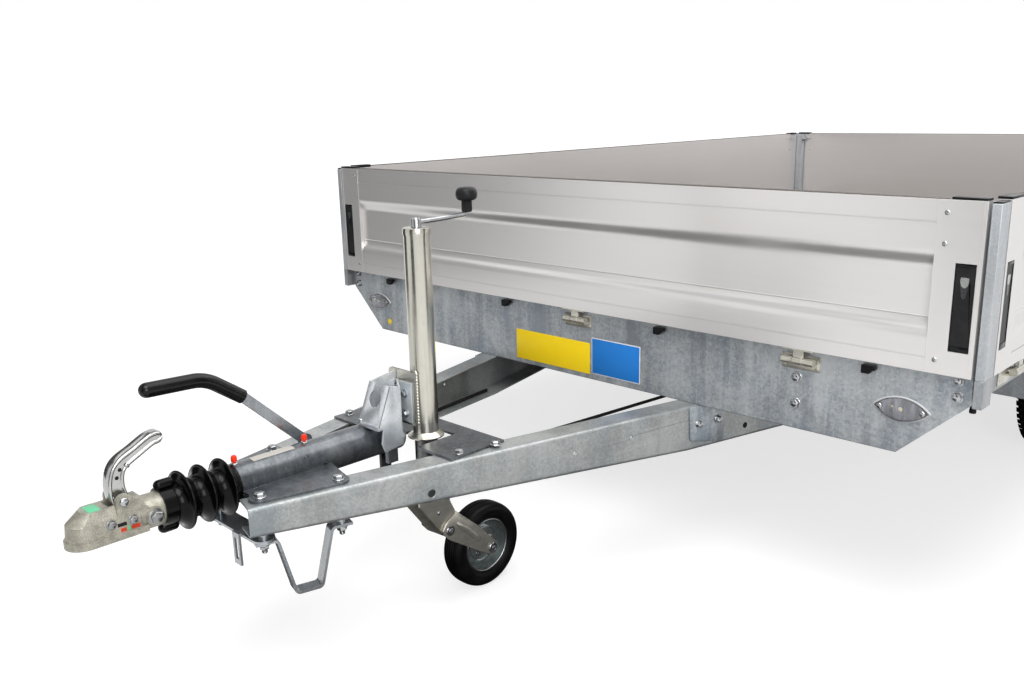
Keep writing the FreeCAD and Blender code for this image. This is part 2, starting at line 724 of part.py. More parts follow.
def side_rail():
    """Left side rail with the two post pockets at its ends."""
    web_in = FRAME_HALF - SHEET
    rear = BODY_LENGTH - POST_SIDE
    web = block(web_in, POST_SIDE, RAIL_BOTTOM, FRAME_HALF, rear, FLOOR_TOP)
    ledge_start = FRAME_FRONT + SHEET + LEDGE
    ledge = block(web_in - LEDGE, ledge_start, FLOOR_BOTTOM - SHEET,
                  web_in, BODY_LENGTH - ledge_start, FLOOR_BOTTOM)
    flange = block(web_in - RAIL_FLANGE, POST_SIDE, RAIL_BOTTOM, web_in, rear, RAIL_BOTTOM + SHEET)
    pocket = corner_pocket()
    return join([web, ledge, flange, pocket, mirror_length(pocket)])


def member(y, deep):
    """One cross member: deep out to the rails, or only between the chassis rails."""
    ledge_in = FRAME_HALF - SHEET - LEDGE
    rail_in = FRAME_HALF - SHEET
    step = RAIL_BOTTOM + SHEET
    low_half = BODY_HALF_WIDTH - MEMBER_END_INSET if deep else MEMBER_INNER_HALF
    turn_half = rail_in - RAIL_FLANGE if deep else MEMBER_INNER_HALF
    right = [(ledge_in, FLOOR_BOTTOM), (ledge_in, FLOOR_BOTTOM - SHEET), (rail_in, FLOOR_BOTTOM - SHEET),
             (rail_in, step), (turn_half, step), (low_half, PANEL_BOTTOM)]
    outline = [(-x, z) for x, z in right] + right[::-1]
    web = prism_y(outline, y, y + SHEET)
    top = block(-ledge_in, y + SHEET, FLOOR_BOTTOM - SHEET, ledge_in, y + MEMBER_FLANGE, FLOOR_BOTTOM)
    foot = block(-low_half, y + SHEET, PANEL_BOTTOM, low_half, y + MEMBER_FLANGE, PANEL_BOTTOM + SHEET)
    return join([web, top, foot])


def cross_members():
    deep = [FIRST_MEMBER, SECOND_MEMBER, LAST_MEMBER]
    middle = (FRONT_AXLE_Y + REAR_AXLE_Y) / 2
    shallow = [FRONT_AXLE_Y, middle, REAR_AXLE_Y]
    return [member(y, True) for y in deep] + [member(y, False) for y in shallow]


def floor():
    half = FRAME_HALF - SHEET
    board = block(-half, FRAME_FRONT + SHEET, FLOOR_BOTTOM, half, FRAME_REAR - SHEET, FLOOR_TOP)
    notch = block(BODY_HALF_WIDTH - POST_WING, 0, FLOOR_BOTTOM - CUT,
                  BODY_HALF_WIDTH, POST_SIDE, FLOOR_TOP + CUT)
    return board.cut(four_corners(notch))


def chassis_rail():
    x0 = CHASSIS_RAIL_X
    top, low = PANEL_BOTTOM, PANEL_BOTTOM - CHASSIS_RAIL_HEIGHT
    end = FRAME_REAR - SHEET
    outer = block(x0, CHASSIS_RAIL_START, low, x0 + CHASSIS_RAIL_FLANGE, end, top)
    inner = block(x0 + CHASSIS_RAIL_SHEET, CHASSIS_RAIL_START - CUT, low + CHASSIS_RAIL_SHEET,
                  x0 + CHASSIS_RAIL_FLANGE + CUT, end + CUT, top - CHASSIS_RAIL_SHEET)
    return outer.cut(inner)


# Drawbar


def beam_web_x(y):
    """The outer face of the left drawbar beam at a given y."""
    return BEAM_FRONT_X + (y - BEAM_FRONT_Y) * math.tan(BEAM_ANGLE)


def along_beam(y):
    return (y - BEAM_FRONT_Y) / math.cos(BEAM_ANGLE)


def place_on_beam(shape):
    shape.rotate(V(0, 0, 0), V(0, 0, 1), -math.degrees(BEAM_ANGLE))
    shape.translate(V(BEAM_FRONT_X, BEAM_FRONT_Y, 0))
    return shape


def beam_bottom(along):
    share = min(along / along_beam(0), 1)
    return BEAM_TOP - BEAM_FRONT_HEIGHT - (BEAM_HEIGHT - BEAM_FRONT_HEIGHT) * share


def drawbar_beam():
    """Tapered channel bent from sheet, open inwards, drawn along y with its web's outer face on x = 0."""
    length = (CHASSIS_RAIL_X - BEAM_FRONT_X) / math.sin(BEAM_ANGLE)
    knee = along_beam(0)
    low = BEAM_TOP - BEAM_HEIGHT
    wall = BEAM_SHEET
    outline = [(0, BEAM_TOP), (length, BEAM_TOP), (length, low), (knee, low), (0, beam_bottom(0))]
    outer = prism_x(outline, -BEAM_FLANGE, 0)
    outer = round_edges(outer, BEAM_BEND, lambda m, d: abs(m.x) < SEAT and CUT < m.y < length - CUT)
    hollow = [(-CUT, BEAM_TOP - wall), (length + CUT, BEAM_TOP - wall), (length + CUT, low + wall),
              (knee, low + wall), (-CUT, beam_bottom(-CUT) + wall)]
    inner = prism_x(hollow, -BEAM_FLANGE - CUT, -wall)
    inner = round_edges(inner, BEAM_BEND - wall,
                        lambda m, d: abs(m.x + wall) < SEAT and CUT < m.y < length - CUT)
    holes = []
    for shares, radius in ((BEAM_LARGE_HOLE_SHARES, BEAM_LARGE_HOLE),
                           (BEAM_SMALL_HOLE_SHARES, BEAM_SMALL_HOLE)):
        for along_share, down_share in shares:
            place = knee * along_share
            z = BEAM_TOP - (BEAM_TOP - beam_bottom(place)) * down_share
            holes.append(rod(V(-BEAM_SHEET - CUT, place, z), V(CUT, place, z), radius))
    return place_on_beam(outer.cut([inner] + holes))


def join_plate():
    """Tear-drop plate between the overrun tube and the left beam's top flange."""
    b1 = (join_bolt_x(JOIN_FRONT_BOLT_Y), JOIN_FRONT_BOLT_Y)
    b2 = (join_bolt_x(JOIN_REAR_BOLT_Y), JOIN_REAR_BOLT_Y)
    r = JOIN_PLATE_END_RADIUS
    root = TUBE_RADIUS - TUBE_WALL
    points = [(root, TUBE_FRONT_Y), (BELLOWS_RADIUS, TUBE_FRONT_Y), (b1[0], b1[1] - r), (b1[0] + r, b1[1]),
              (b2[0] + r, b2[1]), (b2[0], b2[1] + r), (root, b2[1] + r + r)]
    plate = prism_z(points, BEAM_TOP, BEAM_TOP + JOIN_PLATE)
    ends = [rod(V(x, y, BEAM_TOP), V(x, y, BEAM_TOP + JOIN_PLATE), r) for x, y in (b1, b2)]
    return join([plate] + ends)


def rear_plate():
    half = REAR_PLATE_HALF
    front = REAR_PLATE_FRONT_Y
    plate = block(-half, front, BEAM_TOP, half, front + REAR_PLATE_LENGTH, BEAM_TOP + JOIN_PLATE)
    notch_half = JOCKEY_COLLAR_RADIUS + CUT
    notch = block(JOCKEY_X - notch_half, front - CUT, BEAM_TOP - CUT, JOCKEY_X + notch_half,
                  JOCKEY_Y + notch_half, BEAM_TOP + JOIN_PLATE + CUT)
    return plate.cut(notch)


def overrun_housing():
    front, rear = V(0, TUBE_FRONT_Y, TUBE_AXIS_Z), V(0, TUBE_REAR_Y, TUBE_AXIS_Z)
    plates = [join_plate(), mirror_x(join_plate()), rear_plate()]
    body = join([rod(front, rear, TUBE_RADIUS)] + plates)
    bore = rod(front - V(0, CUT, 0), rear + V(0, CUT, 0), TUBE_RADIUS - TUBE_WALL)
    # Two guide rings inside carry the draw tube
    rings = []
    for y in (TUBE_FRONT_Y, DRAW_REAR_Y - GUIDE_RING):
        rings.append(pipe(V(0, y, TUBE_AXIS_Z), V(0, y + GUIDE_RING, TUBE_AXIS_Z),
                          TUBE_RADIUS - TUBE_WALL / 2, DRAW_RADIUS + DRAW_CLEARANCE))
    lug_y = TUBE_REAR_Y - ROD_LEVER_WIDTH
    lug = block(-ROD_LUG_HALF, lug_y, TUBE_AXIS_Z - ROD_PIVOT_DROP - ROD_LEVER_TOP, ROD_LUG_HALF, TUBE_REAR_Y,
                TUBE_AXIS_Z - TUBE_RADIUS + TUBE_WALL / 2)
    return join([body.cut(bore), lug] + rings)


def draw_tube():
    start = HEAD_REAR_Y - HEAD_SLEEVE_LENGTH
    return rod(V(0, start, TUBE_AXIS_Z), V(0, DRAW_REAR_Y, TUBE_AXIS_Z), DRAW_RADIUS)


def head_plan(radius, tip_y, half, rear_y, z):
    """Level outline of the head: a round nose that runs into two straight cheeks."""
    centre = tip_y + radius
    lean = math.asin(half / radius) if half < radius else math.pi / 2
    side_y = centre - radius * math.cos(lean)
    wire = [arc_between(V(-half, side_y, z), V(0, tip_y, z), V(half, side_y, z)),
            Part.LineSegment(V(half, side_y, z), V(half, rear_y, z)).toShape(),
            Part.LineSegment(V(half, rear_y, z), V(-half, rear_y, z)).toShape(),
            Part.LineSegment(V(-half, rear_y, z), V(-half, side_y, z)).toShape()]
    return Part.Wire(wire)


def head_ear(side):
    """Raised ear beside the handle, blended down to the sleeve."""
    low_z = HEAD_TOP - HEAD_SHOULDER
    r = HEAD_EAR_RADIUS
    slant = r * math.sqrt(1 / 2)
    front = V(0, HEAD_EAR_Y - r, HEAD_EAR_Z)
    back = V(0, HEAD_EAR_Y + slant, HEAD_EAR_Z + slant)
    foot = V(0, HEAD_EAR_Y + HEAD_EAR_FOOT, low_z)
    base = V(0, HEAD_EAR_Y - r, low_z)
    edges = [arc_between(front, V(0, HEAD_EAR_Y, HEAD_EAR_Z + r), back),
             Part.LineSegment(back, foot).toShape(), Part.LineSegment(foot, base).toShape(),
             Part.LineSegment(base, front).toShape()]
    ear = Part.Face(Part.Wire(edges)).extrude(V(HEAD_EAR_WIDTH, 0, 0))
    ear.translate(V(HEAD_CHEEK_HALF - HEAD_EAR_WIDTH, 0, 0))
    return ear if side > 0 else mirror_x(ear)


def coupling_head():
    """Cast head: ball cup with its skirt, sloping nose, ears, clamped sleeve and cross bolt boss."""
    ball = V(0, HEAD_TIP_Y + HEAD_NOSE_RADIUS, HEAD_BOTTOM + HEAD_BALL_LIFT)
    skirt_top = HEAD_BOTTOM + HEAD_SKIRT
    cheek_rear = HEAD_TIP_Y + HEAD_CHEEK_LENGTH
    skirt = Part.Face(head_plan(HEAD_NOSE_RADIUS, HEAD_TIP_Y, HEAD_NOSE_RADIUS, cheek_rear, HEAD_BOTTOM))
    skirt = skirt.extrude(V(0, 0, HEAD_SKIRT))
    inset = HEAD_NOSE_RADIUS - HEAD_CHEEK_HALF
    shoulder = HEAD_TOP - HEAD_SHOULDER
    waist = HEAD_CHEEK_HALF + inset / 2
    crown_y = HEAD_TIP_Y + HEAD_CROWN_SETBACK
    levels = [
        head_plan(waist, HEAD_TIP_Y + inset / 2, HEAD_CHEEK_HALF, cheek_rear, skirt_top),
        head_plan(waist, HEAD_TIP_Y + inset, HEAD_CHEEK_HALF, cheek_rear, shoulder),
        head_plan(HEAD_CROWN_HALF + inset, crown_y, HEAD_CROWN_HALF, cheek_rear, HEAD_TOP)]
    lower, upper = Part.makeLoft(levels[:2], True), Part.makeLoft(levels[1:], True)
    sleeve_y = HEAD_REAR_Y - HEAD_SLEEVE_LENGTH
    sleeve = rod(V(0, sleeve_y, TUBE_AXIS_Z), V(0, HEAD_REAR_Y, TUBE_AXIS_Z), HEAD_SLEEVE_RADIUS)
    boss_y = HEAD_TIP_Y + HEAD_BOSS_BEHIND_TIP
    boss_end = V(HEAD_BOSS_HALF, boss_y, TUBE_AXIS_Z)
    boss = rod(boss_end - V(HEAD_BOSS_HALF + HEAD_BOSS_HALF, 0, 0), boss_end, HEAD_BOSS_RADIUS)
    solid = join([skirt, lower, upper, sleeve, boss, head_ear(1), head_ear(-1)])
    socket = rod(V(0, ball.y, HEAD_BOTTOM - CUT), ball, HEAD_SOCKET_RADIUS)
    socket_top = Part.makeSphere(HEAD_SOCKET_RADIUS, ball)
    bore = rod(V(0, sleeve_y, TUBE_AXIS_Z), V(0, HEAD_REAR_Y + CUT, TUBE_AXIS_Z), DRAW_RADIUS)
    slot_half = HANDLE_WIDTH / 2 + HEAD_SLOT_GAP
    swing = HANDLE_DEPTH / 2 + MOVING_GAP
    slot = rod(V(-slot_half, HEAD_EAR_Y, HEAD_EAR_Z), V(slot_half, HEAD_EAR_Y, HEAD_EAR_Z), swing)
    mouth = block(-slot_half, HEAD_EAR_Y - swing, HEAD_EAR_Z, slot_half, HEAD_EAR_Y + swing,
                  HEAD_TOP + swing + swing)
    reach = HEAD_CHEEK_HALF - HEAD_EAR_WIDTH
    pin_way = rod(V(-reach, HEAD_EAR_Y, HEAD_EAR_Z), V(reach, HEAD_EAR_Y, HEAD_EAR_Z),
                  HANDLE_PIVOT_RADIUS + SEAT)
    return solid.cut([socket, socket_top, bore, slot, mouth, pin_way])


def coupling_handle():
    """Pressed handle, hollow on its inner side, that pivots between the ears and curls back."""
    half, deep = HANDLE_WIDTH / 2, HANDLE_DEPTH / 2
    across = V(1, 0, 0)
    pivot = V(-half, HEAD_EAR_Y, HEAD_EAR_Z)
    centre = [pivot] + [pivot + V(0, along, up) * HANDLE_RISE for along, up in HANDLE_REACH_SHARES]
    bar = curved_strip(centre, deep, deep, HANDLE_BEND, across).extrude(across * HANDLE_WIDTH)
    eye = rod(pivot, pivot + across * HANDLE_WIDTH, deep)
    tip = rod(centre[-1], centre[-1] + across * HANDLE_WIDTH, deep)
    body = join([bar, eye, tip])
    body = round_edges(body, HANDLE_EDGE, lambda m, d: abs(d.x) < SEAT and m.z > HEAD_EAR_Z + deep)
    wall = across * HANDLE_WALL
    first = centre[0] + (centre[1] - centre[0]).normalize() * (deep + HANDLE_WALL)
    channel = [first + wall] + [point + wall for point in centre[1:]]
    hollow = curved_strip(channel, deep - HANDLE_WALL, deep + CUT, HANDLE_BEND, across)
    hollow = hollow.extrude(across * (HANDLE_WIDTH - HANDLE_WALL - HANDLE_WALL))
    reach = HEAD_CHEEK_HALF - HEAD_EAR_WIDTH
    pin = rod(V(-reach, HEAD_EAR_Y, HEAD_EAR_Z), V(reach, HEAD_EAR_Y, HEAD_EAR_Z), HANDLE_PIVOT_RADIUS)
    return join([body.cut(hollow), pin])


def bellows():
    """Folded rubber gaiter: a clamped cuff with two bumpers on the head's sleeve, then thin-edged folds."""
    cuff_start, start, end = HEAD_REAR_Y - BELLOWS_OVERLAP, HEAD_REAR_Y, TUBE_FRONT_Y
    cuff_bore = HEAD_SLEEVE_RADIUS + BELLOWS_BORE_GAP
    cuff = cuff_bore + BELLOWS_CUFF_WALL
    bore = DRAW_RADIUS + BELLOWS_BORE_GAP

    def spot(y, r):
        return V(0, y, TUBE_AXIS_Z + r)

    def line(a, b):
        return Part.LineSegment(a, b).toShape()

    fold = (end - start) / BELLOWS_FOLDS
    rim, top = BELLOWS_RIM, BELLOWS_RADIUS - BELLOWS_RIM
    flank, height = BELLOWS_FLANK_SHARES
    edges = [line(spot(cuff_start, cuff_bore), spot(cuff_start, cuff)),
             line(spot(cuff_start, cuff), spot(start, cuff)),
             line(spot(start, cuff), spot(start, BELLOWS_VALLEY))]
    for i in range(BELLOWS_FOLDS):
        y = start + fold * i
        run, lift = fold / 2 - rim, top - BELLOWS_VALLEY
        middle = y + fold / 2
        low = BELLOWS_VALLEY + lift * height
        edges += [arc_between(spot(y, BELLOWS_VALLEY), spot(y + run * flank, low), spot(middle - rim, top)),
                  arc_between(spot(middle - rim, top), spot(middle, BELLOWS_RADIUS), spot(middle + rim, top)),
                  arc_between(spot(middle + rim, top), spot(y + fold - run * flank, low),
                              spot(y + fold, BELLOWS_VALLEY))]
    edges += [line(spot(end, BELLOWS_VALLEY), spot(end, bore)), line(spot(end, bore), spot(start, bore)),
              line(spot(start, bore), spot(start, cuff_bore)),
              line(spot(start, cuff_bore), spot(cuff_start, cuff_bore))]
    sleeve = Part.Face(Part.Wire(edges)).revolve(V(0, 0, TUBE_AXIS_Z), V(0, 1, 0), 360)
    pieces = [sleeve]
    for side in (-1, 1):
        a = V(0, cuff_start + BUMPER_RADIUS / 2, TUBE_AXIS_Z + side * BUMPER_REACH)
        b = V(0, start, a.z)
        pieces += [rod(a, b, BUMPER_RADIUS)] + [Part.makeSphere(BUMPER_RADIUS, end) for end in (a, b)]
    clear = rod(V(0, cuff_start - BUMPER_REACH, TUBE_AXIS_Z), V(0, start, TUBE_AXIS_Z), cuff_bore)
    return join(pieces).cut(clear)


def lever_points():
    """Pivot, knee, bend and end of the hand lever's line."""
    pivot = V(LEVER_X, LEVER_PIVOT_Y, TUBE_AXIS_Z + LEVER_PIVOT_LIFT)
    knee = pivot + V(0, -LEVER_REACH, LEVER_RISE)
    bend = knee + V(0, -GRIP_BEND_REACH, GRIP_BEND_RISE)
    return pivot, knee, bend, bend + V(0, -GRIP_END_REACH, GRIP_END_RISE)


def lever_bar(fit):
    """The flat bar of the hand lever, enlarged all round by a fit."""
    pivot, knee, _, _ = lever_points()
    heading = (knee - pivot).normalize()
    half_width, half = LEVER_WIDTH / 2 + fit, V(LEVER_THICKNESS / 2 + fit, 0, 0)
    face = curved_strip([pivot - half, knee + heading * (GRIP_OVERLAP + fit) - half], half_width, half_width,
                        LEVER_WIDTH, V(1, 0, 0))
    return face.extrude(half + half)


def hand_lever():
    pivot = lever_points()[0]
    half = V(LEVER_THICKNESS / 2, 0, 0)
    boss = rod(pivot - half, pivot + half, LEVER_PIVOT_BOSS)
    # The pin stops just short of the tube's round side
    rise = LEVER_PIVOT_LIFT - HANDLE_PIVOT_RADIUS
    seat_x = -math.sqrt(TUBE_RADIUS ** 2 - rise ** 2) - SEAT
    pin = rod(pivot, V(seat_x, pivot.y, pivot.z), HANDLE_PIVOT_RADIUS)
    return join([lever_bar(0), boss, pin])


def hand_grip():
    """Moulded grip that bends forward at the top of the hand lever."""
    _, knee, bend, end = lever_points()
    grip = bent_rod([knee, bend, end], GRIP_RADIUS, GRIP_BEND_RADIUS, V(1, 0, 0))
    return join([grip, Part.makeSphere(GRIP_RADIUS, end)]).cut(lever_bar(GRIP_FIT))


def join_bolt_x(y):
    return beam_web_x(y) - JOIN_BOLT_INSET


def tie_top():
    """Upper face of the tie plate, a spacer below the left beam's front bolt."""
    return beam_bottom(along_beam(JOIN_FRONT_BOLT_Y)) - SPACER_HEIGHT


def skid():
    """Bent flat bar under the left beam, bolted below the tie plate and a spacer behind it."""
    front_x, rear_x = join_bolt_x(JOIN_FRONT_BOLT_Y), join_bolt_x(JOIN_REAR_BOLT_Y)
    half_bar = SKID_THICKNESS / 2
    front_z = tie_top() - TIE_THICKNESS - half_bar
    rear_under = beam_bottom(along_beam(JOIN_REAR_BOLT_Y))
    rear_z = rear_under - SPACER_HEIGHT - half_bar
    middle = (JOIN_FRONT_BOLT_Y + JOIN_REAR_BOLT_Y) / 2
    low = BEAM_TOP - SKID_DROP + half_bar
    path = [V(0, JOIN_FRONT_BOLT_Y - SKID_TAB, front_z), V(0, JOIN_FRONT_BOLT_Y + SKID_TAB, front_z),
            V(0, middle - SKID_BOTTOM_HALF, low), V(0, middle + SKID_BOTTOM_HALF, low),
            V(0, JOIN_REAR_BOLT_Y - SKID_TAB, rear_z), V(0, JOIN_REAR_BOLT_Y + SKID_TAB, rear_z)]
    path = [point - V(SKID_WIDTH / 2, 0, 0) for point in path]
    bar = curved_strip(path, half_bar, half_bar, SKID_BEND, V(1, 0, 0)).extrude(V(SKID_WIDTH, 0, 0))
    turn = math.degrees(math.atan2(rear_x - front_x, JOIN_REAR_BOLT_Y - JOIN_FRONT_BOLT_Y))
    bar.rotate(V(0, middle, 0), V(0, 0, 1), -turn)
    bar.translate(V((front_x + rear_x) / 2, 0, 0))
    spacer = rod(V(rear_x, JOIN_REAR_BOLT_Y, rear_z), V(rear_x, JOIN_REAR_BOLT_Y, rear_under), SPACER_RADIUS)
    return join([bar, spacer])


def tie_plate():
    """Cross plate under the beams' front bolts, with the guide that hangs from its front edge."""
    top = tie_top()
    x = join_bolt_x(JOIN_FRONT_BOLT_Y)
    half = TIE_LENGTH / 2
    front = JOIN_FRONT_BOLT_Y - half
    pieces = [block(-x, front, top - TIE_THICKNESS, x, front + TIE_LENGTH, top)]
    for bolt_x in (-x, x):
        base = V(bolt_x, JOIN_FRONT_BOLT_Y, top)
        pieces.append(rod(base - V(0, 0, TIE_THICKNESS), base, half))
        pieces.append(rod(base, base + V(0, 0, SPACER_HEIGHT), SPACER_RADIUS))
    guide = block(GUIDE_X, front - GUIDE_THICKNESS, top - GUIDE_HEIGHT, GUIDE_X + GUIDE_WIDTH, front, top)
    middle = GUIDE_X + GUIDE_WIDTH / 2
    slot = block(middle - GUIDE_SLOT / 2, front - GUIDE_THICKNESS - CUT, top - GUIDE_HEIGHT + GUIDE_SLOT,
                 middle + GUIDE_SLOT / 2, front + CUT, top - GUIDE_SLOT)
    return join(pieces + [guide.cut(slot)])


def notch_holder():
    """Bent bracket on the overrun tube, with an open notch at its top."""
    left, right = HOLDER_LEFT, HOLDER_RIGHT
    sheet = HOLDER_SHEET
    back = FLANGE_FACE_Y
    flange_top = HOLDER_TOP - HOLDER_SLOPE
    tube_top = TUBE_AXIS_Z + TUBE_RADIUS
    side_yz = [(HOLDER_FOOT_Y, HOLDER_FOOT), (HOLDER_TOP_Y, HOLDER_TOP), (back - sheet, flange_top),
               (back - sheet, FLANGE_BOTTOM), (HOLDER_BACK_Y, HOLDER_SIDE_BOTTOM),
               (HOLDER_LOW_Y, HOLDER_SIDE_BOTTOM), (HOLDER_LOW_Y, tube_top)]
    inner_yz = [(HOLDER_FOOT_Y + sheet, HOLDER_FOOT), (HOLDER_TOP_Y + sheet, HOLDER_TOP), (back, HOLDER_TOP),
                (back, HOLDER_SIDE_BOTTOM), (HOLDER_FOOT_Y + sheet, HOLDER_SIDE_BOTTOM)]
    middle_y = (HOLDER_FOOT_Y + HOLDER_TOP_Y) / 2
    folded = round_edges(prism_x(side_yz, left, right), HOLDER_BEND,
                         lambda m, d: abs(m.x - right) < SEAT and abs(m.y - middle_y) < SEAT)
    folded = folded.cut(prism_x(inner_yz, left - CUT, right - sheet))
    flange = block(right - sheet, back - sheet, FLANGE_BOTTOM, JOCKEY_X + FLANGE_RIGHT, back, flange_top)
    foot = block(left, HOLDER_FOOT_Y, tube_top, right, HOLDER_LOW_Y, HOLDER_FOOT + sheet)
    middle = (left + right - sheet) / 2
    z = HOLDER_TOP - HOLDER_NOTCH_DROP
    hole = rod(V(middle, HOLDER_FOOT_Y - CUT, z), V(middle, back - sheet - CUT, z), HOLDER_NOTCH_RADIUS)
    half = HOLDER_NOTCH_RADIUS * NOTCH_MOUTH_SHARE
    mouth = block(middle - half, HOLDER_FOOT_Y - CUT, z,
                  middle + half, HOLDER_TOP_Y + sheet + CUT, HOLDER_TOP + CUT)
    return join([folded.cut([hole, mouth]), flange, foot])


# Jockey wheel


def jockey_line(z):
    return V(JOCKEY_X, JOCKEY_Y, z)


def jockey_outer_tube():
    """Outer tube with a flared collar at its foot and the plate that bolts it to the holder."""
    r, flare = JOCKEY_TUBE_RADIUS, JOCKEY_COLLAR_RADIUS
    tube = rod(jockey_line(JOCKEY_TUBE_BOTTOM), jockey_line(JOCKEY_TUBE_TOP), r)
    thick = JOCKEY_COLLAR_BEND
    section = [(0, 0), (flare, 0), (flare, thick), (r + thick, JOCKEY_COLLAR_HEIGHT),
               (r, JOCKEY_COLLAR_HEIGHT + thick), (0, JOCKEY_COLLAR_HEIGHT + thick)]
    collar = spin_profile([jockey_line(JOCKEY_TUBE_BOTTOM + up) + V(out, 0, 0) for out, up in section],
                          jockey_line(0), V(0, 0, 1))
    plate = block(JOCKEY_X - FLANGE_LEFT, FLANGE_FACE_Y, FLANGE_BOTTOM, JOCKEY_X + FLANGE_RIGHT,
                  FLANGE_FACE_Y + FLANGE_PLATE, FLANGE_TOP)
    plate = round_edges(plate, FLANGE_CORNER, lambda m, d: abs(d.y) > 1 - PARALLEL_SHARE)
    bore = rod(jockey_line(JOCKEY_TUBE_BOTTOM - CUT), jockey_line(JOCKEY_TUBE_TOP - JOCKEY_TUBE_WALL),
               r - JOCKEY_TUBE_WALL)
    return join([tube, collar, plate]).cut(bore)


def jockey_inner_tube():
    outer = JOCKEY_TUBE_RADIUS - JOCKEY_TUBE_WALL - JOCKEY_INNER_CLEARANCE
    tube = pipe(jockey_line(JOCKEY_INNER_BOTTOM), jockey_line(JOCKEY_INNER_TOP),
                outer, outer - JOCKEY_INNER_WALL)
    plug_top = JOCKEY_INNER_BOTTOM + JOCKEY_CROWN_HEIGHT
    plug = rod(jockey_line(JOCKEY_INNER_BOTTOM), jockey_line(plug_top), outer)
    spigot = rod(jockey_line(JOCKEY_INNER_BOTTOM - JOCKEY_CROWN_HEIGHT), jockey_line(JOCKEY_INNER_BOTTOM),
                 JOCKEY_SWIVEL_RADIUS)
    return join([tube, plug, spigot])


def fork_spots(shares):
    """Points in the fork's side view, given as shares of its trail and of its rise."""
    return [(JOCKEY_Y + along * JOCKEY_WHEEL_TRAIL, JOCKEY_WHEEL_RADIUS + up * JOCKEY_FORK_RISE)
            for along, up in shares]


def fork_side():
    """Left half of the fork: crown plate inside, stepped and ribbed arm outside."""
    outer = JOCKEY_X + JOCKEY_FORK_HALF
    plate = JOCKEY_FORK_PLATE
    step = plate - SEAT
    inner = outer - plate
    hub_y, hub_z = JOCKEY_Y + JOCKEY_WHEEL_TRAIL, JOCKEY_WHEEL_RADIUS
    crown = prism_x(fork_spots(CROWN_PLATE_SHARES), inner - plate, inner)
    arm = prism_x(fork_spots(FORK_ARM_SHARES), inner, outer)
    foot = prism_x(fork_spots(FORK_FOOT_SHARES), inner - step, outer - step)
    eye = rod(V(inner - step, hub_y, hub_z), V(outer - step, hub_y, hub_z), JOCKEY_EYE_RADIUS)
    (y0, z0), (y1, z1) = fork_spots(FORK_RIB_SHARES)
    a, b = V(inner, y0, z0), V(inner, y1, z1)
    rib = join([rod(a, b, FORK_RIB_RADIUS), Part.makeSphere(FORK_RIB_RADIUS, a),
                Part.makeSphere(FORK_RIB_RADIUS, b)])
    low, high = hub_z - JOCKEY_WHEEL_RADIUS, JOCKEY_INNER_BOTTOM
    rib = rib.common(block(inner, JOCKEY_Y, low, outer + FORK_RIB_RADIUS, hub_y, high))
    return join([crown, arm, foot, eye, rib])


def jockey_fork():
    """Swivel head on the spigot with its top plate, the two sides and the axle between their eyes."""
    top = JOCKEY_INNER_BOTTOM - JOCKEY_CROWN_GAP
    low = JOCKEY_INNER_BOTTOM - JOCKEY_CROWN_HEIGHT
    side = fork_side()
    centre = V(JOCKEY_X, 0, 0)
    other = side.mirror(centre, V(1, 0, 0))
    inner = JOCKEY_FORK_HALF - JOCKEY_FORK_PLATE
    spots = fork_spots(CROWN_PLATE_SHARES)
    lid = block(JOCKEY_X - inner, spots[0][0], top - JOCKEY_FORK_PLATE, JOCKEY_X + inner, spots[1][0], top)
    head = rod(jockey_line(low), jockey_line(top), JOCKEY_CROWN_RADIUS)
    bore = rod(jockey_line(low - CUT), jockey_line(top + CUT), JOCKEY_SWIVEL_RADIUS + JOCKEY_SWIVEL_CLEARANCE)
    hub_y, hub_z = JOCKEY_Y + JOCKEY_WHEEL_TRAIL, JOCKEY_WHEEL_RADIUS
    axle = rod(V(JOCKEY_X - inner, hub_y, hub_z), V(JOCKEY_X + inner, hub_y, hub_z), JOCKEY_AXLE_RADIUS)
    return join([side, other, lid, head, axle]).cut(bore)


def wheel_section(points, x, y, z):
    """Revolve a half section, given as distance along the axle and radius, about the axle."""
    outline = [V(x + along, y, z + radius) for along, radius in points]
    return spin_profile(outline, V(x, y, z), V(1, 0, 0))


def jockey_tyre():
    """Solid rubber tyre with rounded shoulders on a narrow foot."""
    half, r = JOCKEY_WHEEL_WIDTH / 2, JOCKEY_WHEEL_RADIUS
    inner = JOCKEY_RIM_RADIUS + TYRE_SEAT
    right = [(half * across, inner + (r - inner) * up) for across, up in JOCKEY_TYRE_SHARES]
    left = [(-along, radius) for along, radius in right]
    return wheel_section(left + right[::-1], JOCKEY_X, JOCKEY_Y + JOCKEY_WHEEL_TRAIL, r)


def jockey_rim():
    """Pressed wheel: a barrel under the tyre, a dished disc and the hub tube."""
    half = JOCKEY_WHEEL_WIDTH / 2 * JOCKEY_TYRE_SHARES[0][0]
    bore = JOCKEY_AXLE_RADIUS + PIN_CLEARANCE
    rim, hub, wall = JOCKEY_RIM_RADIUS, JOCKEY_HUB_RADIUS, JOCKEY_RIM_WALL
    dish = half * JOCKEY_DISH_SHARE
    flat = hub + (rim - hub) * JOCKEY_DISH_SHARE
    points = [(-JOCKEY_HUB_HALF, bore), (-JOCKEY_HUB_HALF, hub), (-wall, hub), (-wall, flat),
              (-dish, rim - wall), (-half, rim - wall), (-half, rim), (half, rim), (half, rim - wall),
              (wall - dish, rim - wall), (wall, flat), (wall, hub), (JOCKEY_HUB_HALF, hub),
              (JOCKEY_HUB_HALF, bore)]
    return wheel_section(points, JOCKEY_X, JOCKEY_Y + JOCKEY_WHEEL_TRAIL, JOCKEY_WHEEL_RADIUS)


